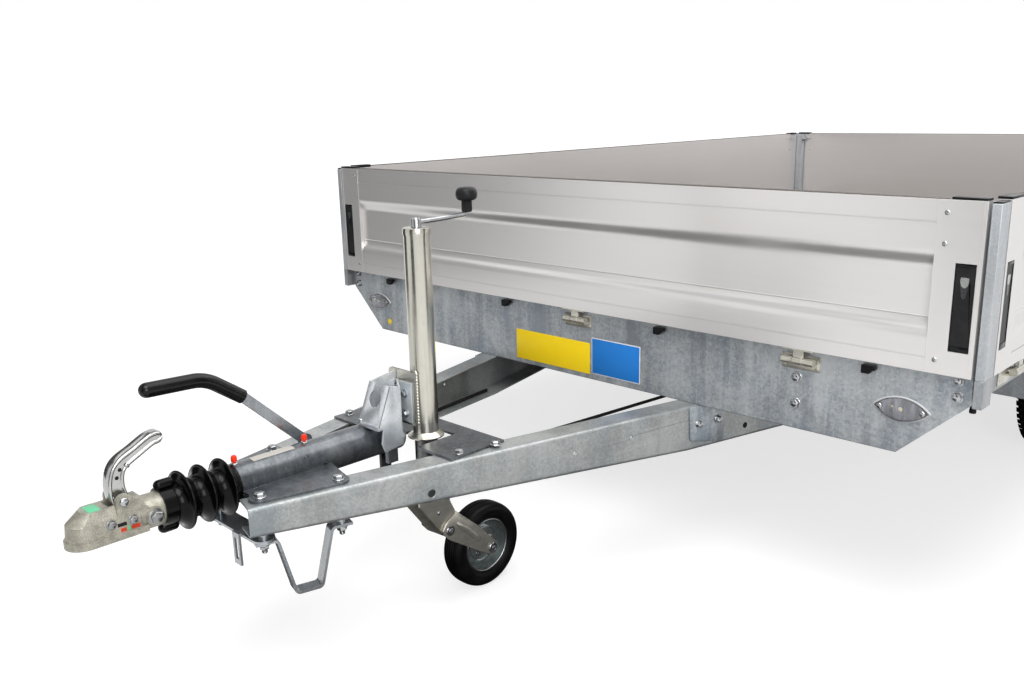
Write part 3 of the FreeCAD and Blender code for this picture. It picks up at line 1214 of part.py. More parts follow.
def jockey_crank():
    """Hub on the tube's cap and a round bar that rises gently to the knob."""
    top = JOCKEY_TUBE_TOP + CRANK_HUB_HEIGHT
    hub = rod(jockey_line(JOCKEY_TUBE_TOP), jockey_line(top), CRANK_HUB_RADIUS)
    start = jockey_line(top - CRANK_BAR_RADIUS - CRANK_HUB_SETBACK)
    path = [start, start + V(0, CRANK_ARM_LENGTH / 2, 0),
            start + V(0, CRANK_ARM_LENGTH - CRANK_BAR_RADIUS, CRANK_RISE)]
    bar = bent_rod(path, CRANK_BAR_RADIUS, CRANK_ARM_LENGTH / 2, V(1, 0, 0))
    post_top = V(JOCKEY_X, JOCKEY_Y + CRANK_ARM_LENGTH, start.z + CRANK_RISE + CRANK_POST)
    post = rod(post_top - V(0, 0, CRANK_POST + CRANK_BAR_RADIUS), post_top, CRANK_BAR_RADIUS)
    return join([hub, bar, post])


def crank_knob():
    """Square knob with rounded corners and its collar, on the crank's post."""
    bar_z = JOCKEY_TUBE_TOP + CRANK_HUB_HEIGHT - CRANK_BAR_RADIUS - CRANK_HUB_SETBACK
    post_top = bar_z + CRANK_RISE + CRANK_POST
    base = V(JOCKEY_X, JOCKEY_Y + CRANK_ARM_LENGTH, post_top - KNOB_STEM + MOVING_GAP)
    neck = base + V(0, 0, KNOB_STEM)
    stem = rod(base, neck + V(0, 0, KNOB_HEIGHT / 2), KNOB_STEM_RADIUS)
    half = KNOB_HALF
    knob = block(neck.x - half, neck.y - half, neck.z, neck.x + half, neck.y + half, neck.z + KNOB_HEIGHT)
    knob = round_edges(knob, KNOB_CORNER, lambda m, d: abs(d.z) > 1 - PARALLEL_SHARE)
    hole = rod(V(base.x, base.y, base.z - CUT), V(base.x, base.y, post_top + CRANK_BAR_CLEARANCE),
               CRANK_BAR_RADIUS + CRANK_BAR_CLEARANCE)
    return join([stem, knob]).cut(hole)


# Axles, wheels and mudguards


def axle(y):
    """Torsion axle: tube, carriers to the chassis rails, trailing arms, stubs and back plates."""
    pivot_y = y - AXLE_ARM_LENGTH
    arm_x = TYRE_INNER_X - AXLE_ARM_GAP - DRUM_WIDTH / 2 - AXLE_ARM_WIDTH
    tube_half = arm_x
    pieces = [rod(V(-tube_half, pivot_y, AXLE_TUBE_Z), V(tube_half, pivot_y, AXLE_TUBE_Z), AXLE_TUBE_RADIUS)]
    rail_low = PANEL_BOTTOM - CHASSIS_RAIL_HEIGHT
    for side in (-1, 1):
        plate_in = side * CHASSIS_RAIL_X
        plate_out = side * (CHASSIS_RAIL_X + CHASSIS_RAIL_FLANGE)
        pieces.append(block(plate_in, pivot_y - AXLE_PLATE_HALF_LENGTH, rail_low - AXLE_PLATE,
                            plate_out, pivot_y + AXLE_PLATE_HALF_LENGTH, rail_low))
        for edge in (plate_in, plate_out - side * AXLE_PLATE):
            yz = [(pivot_y - AXLE_TUBE_RADIUS, AXLE_TUBE_Z), (pivot_y + AXLE_TUBE_RADIUS, AXLE_TUBE_Z),
                  (pivot_y + AXLE_PLATE_HALF_LENGTH, rail_low - AXLE_PLATE),
                  (pivot_y - AXLE_PLATE_HALF_LENGTH, rail_low - AXLE_PLATE)]
            pieces.append(prism_x(yz, edge, edge + side * AXLE_PLATE))
        x0, x1 = side * arm_x, side * (arm_x + AXLE_ARM_WIDTH)
        eye = rod(V(x0, pivot_y, AXLE_TUBE_Z), V(x1, pivot_y, AXLE_TUBE_Z), AXLE_TUBE_RADIUS)
        end = rod(V(x0, y, WHEEL_RADIUS), V(x1, y, WHEEL_RADIUS), HUB_RADIUS)
        top = [(pivot_y, AXLE_TUBE_Z + AXLE_TUBE_RADIUS), (y, WHEEL_RADIUS + HUB_RADIUS),
               (y, WHEEL_RADIUS - HUB_RADIUS), (pivot_y, AXLE_TUBE_Z - AXLE_TUBE_RADIUS)]
        pieces += [eye, end, prism_x(top, x0, x1)]
        stub_end = side * (TYRE_MIDDLE_X + STUB_REACH)
        pieces.append(rod(V(x1, y, WHEEL_RADIUS), V(stub_end, y, WHEEL_RADIUS), HUB_BORE))
        pieces.append(rod(V(x1, y, WHEEL_RADIUS), V(x1 + side * BACKPLATE, y, WHEEL_RADIUS), DRUM_RADIUS))
    return join(pieces)


def drum_inner_x():
    return TYRE_INNER_X - AXLE_ARM_GAP - DRUM_WIDTH / 2 + BACKPLATE + MOVING_GAP


def rim(side, y):
    """Steel wheel with its brake drum and hub, revolved as one about the stub."""
    half = RIM_WIDTH / 2
    disc = half * RIM_DISC_SHARE
    wall = RIM_WALL
    well = RIM_RADIUS - RIM_WELL
    inner = drum_inner_x() - TYRE_MIDDLE_X
    bore = HUB_BORE + HUB_BORE_CLEARANCE
    lip, ledge = RIM_RADIUS + RIM_FLANGE, RIM_RADIUS - wall
    points = [(inner, bore), (inner, DRUM_RADIUS), (disc - wall, DRUM_RADIUS), (disc - wall, well - wall),
              (-half + RIM_WELL, well - wall), (-half + RIM_FLANGE, ledge), (-half, ledge), (-half, lip),
              (-half + wall, lip), (-half + wall, RIM_RADIUS), (-half + RIM_FLANGE + wall, RIM_RADIUS),
              (-half + RIM_WELL + wall, well), (half - RIM_WELL, well), (half - RIM_FLANGE, RIM_RADIUS),
              (half - wall, RIM_RADIUS), (half - wall, lip), (half, lip), (half, ledge),
              (half - RIM_WELL, well - wall), (disc, well - wall), (disc, HUB_RADIUS + RIM_WELL),
              (disc + RIM_FLANGE, HUB_RADIUS + RIM_FLANGE), (disc + RIM_FLANGE, HUB_RADIUS),
              (half, HUB_RADIUS), (half, bore)]
    shape = wheel_section(points, TYRE_MIDDLE_X, y, WHEEL_RADIUS)
    holes = []
    for i in range(RIM_WINDOWS):
        angle = 2 * math.pi * (i + 1 / 2) / RIM_WINDOWS
        reach = (DRUM_RADIUS + well) / 2
        hy, hz = y + reach * math.cos(angle), WHEEL_RADIUS + reach * math.sin(angle)
        x = TYRE_MIDDLE_X + disc
        holes.append(rod(V(x - wall - CUT, hy, hz), V(x + CUT, hy, hz), RIM_WINDOW_RADIUS))
    shape = shape.cut(holes)
    return shape if side > 0 else mirror_x(shape)


def tyre(side, y):
    half, r = TYRE_WIDTH / 2, WHEEL_RADIUS
    rim_half = RIM_WIDTH / 2 - RIM_WALL - TYRE_SEAT
    lip = RIM_RADIUS + RIM_FLANGE + TYRE_SEAT
    right = [(rim_half, RIM_RADIUS + TYRE_SEAT), (rim_half, lip)]
    right += [(half * across, lip + (r - lip) * up) for across, up in TYRE_SHARES]
    left = [(-along, radius) for along, radius in right]
    shape = wheel_section(right + left[::-1], TYRE_MIDDLE_X, y, WHEEL_RADIUS)
    return shape if side > 0 else mirror_x(shape)


def guard_path(reach):
    """Side view of a tandem mudguard at a given distance from the axles' centres."""
    points = []
    steps = GUARD_ARC_STEPS
    for i in range(steps + 1):
        angle = math.radians(180 - GUARD_END_ANGLE - (90 - GUARD_END_ANGLE) * i / steps)
        points.append((FRONT_AXLE_Y + reach * math.cos(angle), WHEEL_RADIUS + reach * math.sin(angle)))
    for i in range(steps + 1):
        angle = math.radians(90 - (90 - GUARD_END_ANGLE) * i / steps)
        points.append((REAR_AXLE_Y + reach * math.cos(angle), WHEEL_RADIUS + reach * math.sin(angle)))
    return points


def mudguard():
    top = RAIL_BOTTOM + SHEET
    reach = top - WHEEL_RADIUS
    inner_x = TYRE_INNER_X - GUARD_INNER_INSET
    outer_x = inner_x + GUARD_WIDTH
    shell = prism_x(guard_path(reach) + guard_path(reach - GUARD_SHEET)[::-1], inner_x, outer_x)
    skirt = prism_x(guard_path(reach) + guard_path(reach - GUARD_SKIRT)[::-1], outer_x - GUARD_SHEET, outer_x)
    return join([shell, skirt])


# Lamps, rod and wiring


def front_lamp():
    """Almond-shaped marker lamp on the front panel, domed towards the front."""
    half = LAMP_LENGTH / 2
    bulge = LAMP_HEIGHT / 2
    radius = (half * half + bulge * bulge) / LAMP_HEIGHT
    discs = []
    for lift in (bulge - radius, radius - bulge):
        centre = V(LAMP_X, FRAME_FRONT, LAMP_Z + lift)
        discs.append(rod(centre - V(0, LAMP_DEPTH, 0), centre, radius))
    sag = LAMP_DEPTH * (1 - LAMP_BACK_SHARE)
    dome = (half * half + sag * sag) / (sag + sag)
    ball = Part.makeSphere(dome, V(LAMP_X, FRAME_FRONT - LAMP_DEPTH + dome, LAMP_Z))
    return discs[0].common(discs[1]).common(ball)


def tail_lamp(side):
    x0, z0, x1, z1 = lamp_seat(side)
    fit = TYRE_SEAT
    lamp = block(x0 + fit, FRAME_FRONT, z0 + fit, x1 - fit, FRAME_FRONT + TAIL_LAMP_DEPTH, z1 - fit)
    flange = block(x0 - TAIL_LAMP_RIM, FRAME_FRONT + SHEET, z0 - TAIL_LAMP_RIM,
                   x1 + TAIL_LAMP_RIM, FRAME_FRONT + SHEET + SHEET, z1 + TAIL_LAMP_RIM)
    return mirror_length(join([lamp, flange]))


def brake_rod():
    """Overrun lever under the tube, the rod back to the axles, and its equaliser bar."""
    y = TUBE_REAR_Y - ROD_LEVER_WIDTH / 2
    front = V(ROD_X, y, TUBE_AXIS_Z - ROD_DROP)
    rear = V(ROD_X, FRONT_AXLE_Y - AXLE_ARM_LENGTH - AXLE_TUBE_RADIUS - ROD_BEFORE_AXLE, front.z - ROD_FALL)
    half, r = ROD_LEVER_THICKNESS / 2, ROD_LEVER_WIDTH / 2
    pivot_z = TUBE_AXIS_Z - ROD_PIVOT_DROP
    lever = block(ROD_X - half, y - r, front.z, ROD_X + half, y + r, pivot_z)
    ends = [rod(V(ROD_X - half, y, z), V(ROD_X + half, y, z), r) for z in (front.z, pivot_z)]
    pin = rod(V(ROD_X, y, pivot_z), V(-ROD_LUG_HALF, y, pivot_z), HANDLE_PIVOT_RADIUS)
    bar = block(ROD_X - EQUALISER_LENGTH, rear.y - ROD_LEVER_THICKNESS, rear.z - EQUALISER_HEIGHT / 2,
                ROD_X + EQUALISER_LENGTH, rear.y, rear.z + EQUALISER_HEIGHT / 2)
    return join([rod(front, rear, ROD_RADIUS), lever, pin, bar] + ends)


def wiring():
    """Cable tied to the lower flange of the right beam, from the nose to the front panel."""
    start, end = along_beam(BEAM_FRONT_Y + TIE_LENGTH), along_beam(0)
    lift = BEAM_SHEET + LOOM_RADIUS
    x = -LOOM_INSET
    cable = rod(V(x, start, beam_bottom(start) + lift), V(x, end, beam_bottom(end) + lift), LOOM_RADIUS)
    return mirror_x(place_on_beam(cable))


# Assembly


def as_side(shape, side):
    """Turn a piece drawn for the front board into its place on a long side."""
    turned = shape.copy()
    turned.rotate(V(0, 0, 0), V(0, 0, 1), 90)
    turned.translate(V(BODY_HALF_WIDTH, BODY_LENGTH / 2, 0))
    return turned if side > 0 else mirror_x(turned)


def board_nodes():
    """The four boards with their leaves and latches, by node name."""
    end_hinges = [-END_HINGE_X, 0, END_HINGE_X]
    side_hinges = [BODY_LENGTH * share for share in SIDE_HINGE_SHARES]
    nodes = {}
    for name, half, hinges, place in (
            ("front", END_BOARD_HALF, end_hinges, lambda s: s),
            ("rear", END_BOARD_HALF, end_hinges, mirror_length),
            ("left", SIDE_BOARD_HALF, side_hinges, lambda s: as_side(s, 1)),
            ("right", SIDE_BOARD_HALF, side_hinges, lambda s: as_side(s, -1))):
        nodes[name + "_board"] = place(board_blank(half))
        nodes[name + "_hinge_leaves"] = Part.Compound([place(leaf(x)) for x in hinges])
        nodes[name + "_latches"] = Part.Compound([place(latch(side, half)) for side in (-1, 1)])
    seats = []
    for x in end_hinges:
        seats += [hinge_seat(x), mirror_length(hinge_seat(x))]
    for x in side_hinges:
        seats += [as_side(hinge_seat(x), 1), as_side(hinge_seat(x), -1)]
    nodes["hinge_seats"] = Part.Compound(seats)
    return nodes


def hook_nodes():
    hooks = []
    for share in END_HOOK_SHARES:
        for side in (-1, 1):
            hook = rope_hook(side * share * BODY_HALF_WIDTH)
            hooks += [hook, mirror_length(hook)]
    for share in SIDE_HOOK_SHARES:
        hook = rope_hook(share * BODY_LENGTH)
        hooks += [as_side(hook, 1), as_side(hook, -1)]
    return {"rope_hooks": Part.Compound(hooks)}


def frame_nodes():
    left_rail = side_rail()
    guard = mudguard()
    return {
        "front_panel": end_panel(),
        "rear_panel": rear_panel(),
        "side_rail_left": left_rail,
        "side_rail_right": mirror_x(left_rail),
        "cross_members": Part.Compound(cross_members()),
        "floor": floor(),
        "corner_posts": Part.Compound(four_corners(corner_post())),
        "chassis_rails": Part.Compound([chassis_rail(), mirror_x(chassis_rail())]),
        "mudguards": Part.Compound([guard, mirror_x(guard)]),
        "front_lamps": Part.Compound([front_lamp(), mirror_x(front_lamp())]),
        "tail_lamps": Part.Compound([tail_lamp(side) for side in (-1, 1)]),
        "brake_rod": brake_rod(),
        "wiring": wiring(),
    }


def drawbar_nodes():
    beam = drawbar_beam()
    return {
        "drawbar_beam_left": beam,
        "drawbar_beam_right": mirror_x(beam),
        "overrun_housing": overrun_housing(),
        "draw_tube": draw_tube(),
        "coupling_head": coupling_head(),
        "coupling_handle": coupling_handle(),
        "bellows": bellows(),
        "hand_lever": hand_lever(),
        "hand_grip": hand_grip(),
        "drawbar_skid": skid(),
        "tie_plate": tie_plate(),
        "notch_holder": notch_holder(),
        "jockey_outer_tube": jockey_outer_tube(),
        "jockey_inner_tube": jockey_inner_tube(),
        "jockey_fork": jockey_fork(),
        "jockey_tyre": jockey_tyre(),
        "jockey_rim": jockey_rim(),
        "jockey_crank": jockey_crank(),
        "crank_knob": crank_knob(),
    }


def wheel_nodes():
    nodes = {"axle_front": axle(FRONT_AXLE_Y), "axle_rear": axle(REAR_AXLE_Y)}
    for row, y in (("front", FRONT_AXLE_Y), ("rear", REAR_AXLE_Y)):
        for name, side in (("left", 1), ("right", -1)):
            nodes["rim_%s_%s" % (row, name)] = rim(side, y)
            nodes["tyre_%s_%s" % (row, name)] = tyre(side, y)
    return nodes


def main():
    os.makedirs("parts", exist_ok=True)
    nodes = {}
    for group in (board_nodes(), hook_nodes(), frame_nodes(), drawbar_nodes(), wheel_nodes()):
        nodes.update(group)
    for name, shape in nodes.items():
        placed = shape.copy()
        placed.translate(V(0, -MIDDLE_Y, 0))
        placed.exportStep("parts/%s.step" % name)
        solids = len(placed.Solids)
        print(name, solids, placed.isValid(), round(placed.Volume / 1000))


main()
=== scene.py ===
"""Utility trailer: finishes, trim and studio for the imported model."""
import logging
import math
from dataclasses import dataclass, field
from enum import Enum
from typing import Optional, Sequence, Union

import bmesh
import bpy
from mathutils import Matrix, Vector


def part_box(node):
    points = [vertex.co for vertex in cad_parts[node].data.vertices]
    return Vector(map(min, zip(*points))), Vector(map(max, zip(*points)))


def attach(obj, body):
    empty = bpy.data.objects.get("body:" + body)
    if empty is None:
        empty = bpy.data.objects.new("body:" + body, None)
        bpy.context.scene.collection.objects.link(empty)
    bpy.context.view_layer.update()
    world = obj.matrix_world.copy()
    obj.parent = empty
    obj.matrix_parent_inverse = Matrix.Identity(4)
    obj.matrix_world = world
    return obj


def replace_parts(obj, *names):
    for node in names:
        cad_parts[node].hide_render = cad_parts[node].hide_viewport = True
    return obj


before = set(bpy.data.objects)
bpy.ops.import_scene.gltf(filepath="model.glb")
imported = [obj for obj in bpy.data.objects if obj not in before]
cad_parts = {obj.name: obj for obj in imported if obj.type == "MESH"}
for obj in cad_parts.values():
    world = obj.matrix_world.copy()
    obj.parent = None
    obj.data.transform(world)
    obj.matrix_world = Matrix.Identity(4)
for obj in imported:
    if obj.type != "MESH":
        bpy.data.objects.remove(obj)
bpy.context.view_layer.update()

LOG = logging.getLogger("trailer")
Pair = tuple[float, float]
Point = tuple[float, float, float]
Colour = tuple[float, float, float]
Socket = bpy.types.NodeSocket
Value = Union[float, Socket]

ROOT = "root"
JOCKEY_CASTER, JOCKEY_WHEEL = "jockey_caster", "jockey_wheel"
FACING = {"front": (0, -1, 0), "rear": (0, 1, 0), "left": (1, 0, 0), "right": (-1, 0, 0)}
DROPSIDES = tuple(FACING)
ROAD_WHEELS = tuple((row, side) for row in ("front", "rear") for side in ("left", "right"))
HARD_EDGE = math.radians(38)


# Node graphs


class Nodes:
    """A node tree, and short calls that add nodes to it."""

    def __init__(self, tree: bpy.types.NodeTree) -> None:
        """Take up a tree."""
        self.tree = tree

    def feed(self, socket: Socket, value: object) -> None:
        """Link a socket, or set it where the value is a constant.

        Args:
            socket: The input to feed.
            value: Another socket, a number, a vector or a colour.
        """
        if isinstance(value, bpy.types.NodeSocket):
            self.tree.links.new(value, socket)
        elif isinstance(value, tuple) and len(value) == 3 and socket.type == "RGBA":
            socket.default_value = (*value, 1.0)
        else:
            socket.default_value = value

    def add(self, kind: str, settings: Optional[dict] = None, **sockets: object) -> bpy.types.Node:
        """Add a node, set its properties and feed its sockets.

        Args:
            kind: The node's type.
            settings: Its properties.
            **sockets: Values or sockets by input name, an underscore standing for a space.

        Returns:
            The node.
        """
        node = self.tree.nodes.new(kind)
        for key, value in (settings or {}).items():
            setattr(node, key, value)
        for key, value in sockets.items():
            self.feed(node.inputs[key.replace("_", " ")], value)
        return node

    def math(self, operation: str, a: Value, b: Value = 0.0, c: Value = 0.0) -> Socket:
        """One step of arithmetic on sockets or numbers.

        Args:
            operation: The kind of step.
            a: First value.
            b: Second value.
            c: Third value.

        Returns:
            The result.
        """
        node = self.add("ShaderNodeMath", {"operation": operation})
        for socket, value in zip(node.inputs, (a, b, c)):
            self.feed(socket, value)
        return node.outputs["Value"]


class Graph(Nodes):
    """One material and what its finish needs."""

    def __init__(self, name: str) -> None:
        """Start a material with a Principled shader and its output.

        Args:
            name: The material's name.
        """
        self.material = bpy.data.materials.new(name)
        self.material.use_nodes = True
        super().__init__(self.material.node_tree)
        self.shader = self.tree.nodes["Principled BSDF"]
        self.object_place = self.add("ShaderNodeTexCoord").outputs["Object"]

    def set(self, **values: object) -> None:
        """Feed the shader's own sockets, an underscore standing for a space."""
        for name, value in values.items():
            self.feed(self.shader.inputs[name.replace("_", " ")], value)

    def place(self, scale: Point = (1.0, 1.0, 1.0), turn: Point = (0.0, 0.0, 0.0)) -> Socket:
        """Object coordinates, stretched along each axis and turned about it, in radians."""
        node = self.add("ShaderNodeMapping", Vector=self.object_place, Scale=scale, Rotation=turn)
        return node.outputs["Vector"]

    def noise(self, where: Socket, scale: float, detail: float = 4.0, rough: float = 0.55,
              distortion: float = 0.0) -> Socket:
        """Noise from 0 to 1 at the given place."""
        return self.add("ShaderNodeTexNoise", Vector=where, Scale=scale, Detail=detail, Roughness=rough,
                        Distortion=distortion).outputs["Fac"]

    def cells(self, where: Socket, scale: float, edges: bool = False) -> Socket:
        """A random tone for each crystal cell, or the distance to its edge.

        Args:
            where: A place on the piece.
            scale: Cells in a metre, about.
            edges: Whether to give the distance.

        Returns:
            The tone or the distance.
        """
        node = self.add("ShaderNodeTexVoronoi", {"feature": "DISTANCE_TO_EDGE" if edges else "F1"},
                        Vector=where, Scale=scale)
        if edges:
            return node.outputs["Distance"]
        return self.add("ShaderNodeSeparateColor", Color=node.outputs["Color"]).outputs["Red"]

    def axis(self, where: Socket, index: int) -> Socket:
        """One coordinate of a vector, 0 for x, 1 for y and 2 for z."""
        return self.add("ShaderNodeSeparateXYZ", Vector=where).outputs[index]

    def spread(self, value: Socket, low: float, high: float) -> Socket:
        """The value from low..high, moved smoothly to 0..1 and held there."""
        return self.add("ShaderNodeMapRange", {"interpolation_type": "SMOOTHSTEP"}, Value=value,
                        From_Min=low, From_Max=high, To_Min=0.0, To_Max=1.0).outputs["Result"]

    def around(self, middle: float, value: Socket, span: float) -> Socket:
        """A number that a value from 0 to 1 moves through a span about its middle."""
        return self.math("MULTIPLY_ADD", value, span, middle - span / 2)

    def mean(self, *parts: tuple[Socket, float]) -> Socket:
        """Weighted sum of sockets.

        Args:
            *parts: Pairs of a socket and its weight.

        Returns:
            The sum.
        """
        total: Value = 0.0
        for socket, weight in parts:
            total = self.math("MULTIPLY_ADD", socket, weight, total)
        return total

    def blend(self, low: object, high: object, factor: Value) -> Socket:
        """A colour between two, by a factor. The colour sockets of the node go by number.

        Args:
            low: The colour at 0.
            high: The colour at 1.
            factor: Where between them.

        Returns:
            The colour.
        """
        node = self.add("ShaderNodeMix", {"data_type": "RGBA"}, Factor=factor)
        self.feed(node.inputs[6], low)
        self.feed(node.inputs[7], high)
        return node.outputs[2]

    def bump(self, height: Socket, distance: float, strength: float = 1.0) -> None:
        """Raise the surface by a height, adding to any bump already there.

        Args:
            height: Height from 0 to 1.
            distance: What a height of 1 measures, in metres.
            strength: Share of the effect.
        """
        node = self.add("ShaderNodeBump", Strength=strength, Distance=distance, Height=height)
        normal = self.shader.inputs["Normal"]
        if normal.is_linked:
            self.feed(node.inputs["Normal"], normal.links[0].from_socket)
        self.feed(normal, node.outputs["Normal"])


# Finishes


def shade(colour: Colour, factor: float, lift: float = 0.0) -> Colour:
    """A darker or paler colour, with no channel over 1."""
    return tuple(min(1.0, channel * factor + lift) for channel in colour)


@dataclass(frozen=True)
class Finish:
    """A named surface finish. Each kind paints its own node graph."""

    name: str

    def paint(self, graph: Graph) -> None:
        """Fill the graph of this finish.

        Args:
            graph: The graph to fill.
        """
        raise NotImplementedError

    def material(self) -> bpy.types.Material:
        """The finish's material, made on first use.

        Returns:
            The material.
        """
        title = self.name + "_finish"
        found = bpy.data.materials.get(title)
        if found is None:
            graph = Graph(title)
            self.paint(graph)
            found = graph.material
        return found


@dataclass(frozen=True)
class Galvanised(Finish):
    """Hot-dip zinc: faint clouds, a fine grain of crystals and streaks where it ran off."""

    dark: Colour = (0.20, 0.205, 0.215)
    light: Colour = (0.40, 0.405, 0.415)
    patch: float = 9.0
    crystal: float = 160.0
    streak: float = 26.0
    rough: float = 0.40
    metallic: float = 0.55
    evenness: float = 0.18
    cool: Colour = (0.93, 0.99, 1.06)

    def paint(self, graph: Graph) -> None:
        """Tone from clouds, crystals and streaks, with fine rubbed lines and a softly uneven skin.

        Args:
            graph: The graph to fill.
        """
        where = graph.place()
        clouds = graph.noise(where, self.patch * 0.6, 5.0, 0.55, 0.6)
        specks = graph.noise(where, self.crystal * 1.6, 3.0, 0.7)
        crystals = graph.cells(where, self.crystal)
        runs = graph.noise(graph.place((self.streak, self.streak, 1.6)), 1.0, 6.0, 0.6, 0.3)
        tone = graph.mean((clouds, 0.44), (specks, 0.17), (crystals, 0.07), (runs, 0.32))
        tone = graph.spread(tone, 0.5 - self.evenness, 0.5 + self.evenness)
        blue = graph.noise(where, self.patch * 1.3, 3.0)
        cooled = tuple(channel * tint for channel, tint in zip(self.dark, self.cool))
        dark = graph.blend(self.dark, cooled, graph.spread(blue, 0.4, 0.6))
        rubs = graph.noise(graph.place((7.0, 7.0, 420.0), (0.5, 0.3, 0.0)), 1.0, 2.0, 0.6, 0.2)
        drips = graph.noise(graph.place((300.0, 300.0, 5.0)), 1.0, 2.0, 0.5)
        lines = graph.mean((graph.spread(rubs, 0.68, 0.76), 0.28), (graph.spread(drips, 0.66, 0.76), 0.22))
        body = graph.blend(dark, self.light, tone)
        graph.set(Base_Color=graph.blend(body, shade(self.light, 1.45, 0.03), lines),
                  Metallic=self.metallic, Roughness=graph.around(self.rough, clouds, 0.26))
        graph.bump(graph.noise(where, 170.0, 3.0), 0.0005, 0.3)
        graph.bump(graph.noise(where, 18.0, 2.0), 0.002, 0.16)


@dataclass(frozen=True)
class Anodised(Finish):
    """Anodised aluminium extrusion with fine lines drawn along it."""

    tone: Colour = (0.69, 0.672, 0.662)
    lines: float = 900.0
    rough: float = 0.28
    metallic: float = 0.55

    def paint(self, graph: Graph) -> None:
        """Fine draw lines in the gloss, over wide bands and slow changes of tone.

        Args:
            graph: The graph to fill.
        """
        drawn = graph.noise(graph.place((0.35, 0.35, self.lines)), 1.0, 3.0, 0.7)
        bands = graph.noise(graph.place((0.2, 0.2, 55.0)), 1.0, 2.0)
        slow = graph.noise(graph.place((0.6, 0.6, 1.6)), 1.0, 3.0)
        tone = graph.spread(graph.mean((bands, 0.2), (slow, 0.8)), 0.1, 0.9)
        graph.set(Base_Color=graph.blend(shade(self.tone, 0.94), shade(self.tone, 1.035), tone),
                  Metallic=self.metallic, Roughness=graph.around(self.rough, drawn, 0.02))
        graph.bump(bands, 0.00002, 0.2)


@dataclass(frozen=True)
class Plated(Finish):
    """Zinc or nickel plated steel, bright to satin, with faint drawing marks."""

    tone: Colour = (0.62, 0.61, 0.57)
    shade: float = 0.82
    rough: float = 0.26
    grain: Point = (60.0, 60.0, 6.0)
    metallic: float = 0.92

    def paint(self, graph: Graph) -> None:
        """Long marks along the piece and small clouds in the plating.

        Args:
            graph: The graph to fill.
        """
        marks = graph.noise(graph.place(self.grain), 1.0, 4.0, 0.6)
        clouds = graph.noise(graph.place(), 38.0)
        tone = graph.spread(graph.mean((marks, 0.6), (clouds, 0.4)), 0.4, 0.6)
        graph.set(Base_Color=graph.blend(shade(self.tone, self.shade), self.tone, tone),
                  Metallic=self.metallic, Roughness=graph.around(self.rough, clouds, 0.16))
        graph.bump(marks, 0.0002, 0.3)


@dataclass(frozen=True)
class Cast(Finish):
    """Sand-cast metal under a thin satin zinc coat."""

    tone: Colour = (0.44, 0.415, 0.35)
    rough: float = 0.44
    metallic: float = 0.5

    def paint(self, graph: Graph) -> None:
        """Grain of the mould, with paler rubbed spots.

        Args:
            graph: The graph to fill.
        """
        where = graph.place()
        grain = graph.noise(where, 620.0, 3.0, 0.7)
        spots = graph.noise(where, 55.0, 5.0, 0.6)
        tone = graph.spread(graph.mean((grain, 0.6), (spots, 0.4)), 0.42, 0.60)
        graph.set(Base_Color=graph.blend(shade(self.tone, 0.62), shade(self.tone, 1.12), tone),
                  Metallic=self.metallic, Roughness=graph.around(self.rough, spots, 0.2))
        graph.bump(grain, 0.0009, 0.55)
        graph.bump(spots, 0.0015, 0.3)


@dataclass(frozen=True)
class Moulded(Finish):
    """Moulded plastic or rubber with a fine skin."""

    tone: Colour = (0.012, 0.012, 0.013)
    rough: float = 0.38
    skin: float = 900.0
    depth: float = 0.0002
    shine: float = 0.12

    def paint(self, graph: Graph) -> None:
        """Fine skin with slight dust and handling marks.

        Args:
            graph: The graph to fill.
        """
        where = graph.place()
        skin = graph.noise(where, self.skin, 2.0, 0.6)
        marks = graph.noise(where, 24.0, 5.0, 0.6)
        dusty = shade(self.tone, 1.4, 0.002)
        graph.set(Base_Color=graph.blend(self.tone, dusty, graph.spread(marks, 0.42, 0.7)),
                  Specular_IOR_Level=self.shine, Roughness=graph.around(self.rough, marks, 0.16))
        graph.bump(skin, self.depth, 0.4)


@dataclass(frozen=True)
class Painted(Finish):
    """A flat printed or painted film, such as a blank plate."""

    tone: Colour = (0.9, 0.6, 0.02)
    rough: float = 0.35
    shine: float = 0.25

    def paint(self, graph: Graph) -> None:
        """Slightly uneven film.

        Args:
            graph: The graph to fill.
        """
        where = graph.place()
        clouds = graph.noise(where, 30.0)
        graph.set(Base_Color=graph.blend(shade(self.tone, 0.93), self.tone, clouds),
                  Specular_IOR_Level=self.shine, Roughness=graph.around(self.rough, clouds, 0.1))
        graph.bump(graph.noise(where, 400.0, 2.0), 0.0001, 0.3)


@dataclass(frozen=True)
class Lens(Finish):
    """A lamp lens with fine vertical flutes."""

    tone: Colour = (0.85, 0.87, 0.9)
    flutes: float = 260.0
    clear: float = 0.9

    def paint(self, graph: Graph) -> None:
        """Fluted plastic that lets light through to what is behind it.

        Args:
            graph: The graph to fill.
        """
        ribs = graph.math("MULTIPLY", graph.axis(graph.place(), 0), self.flutes * math.tau)
        graph.set(Base_Color=self.tone, Transmission_Weight=self.clear, Roughness=0.05, IOR=1.45)
        graph.bump(graph.math("SINE", ribs), 0.0004, 0.35)


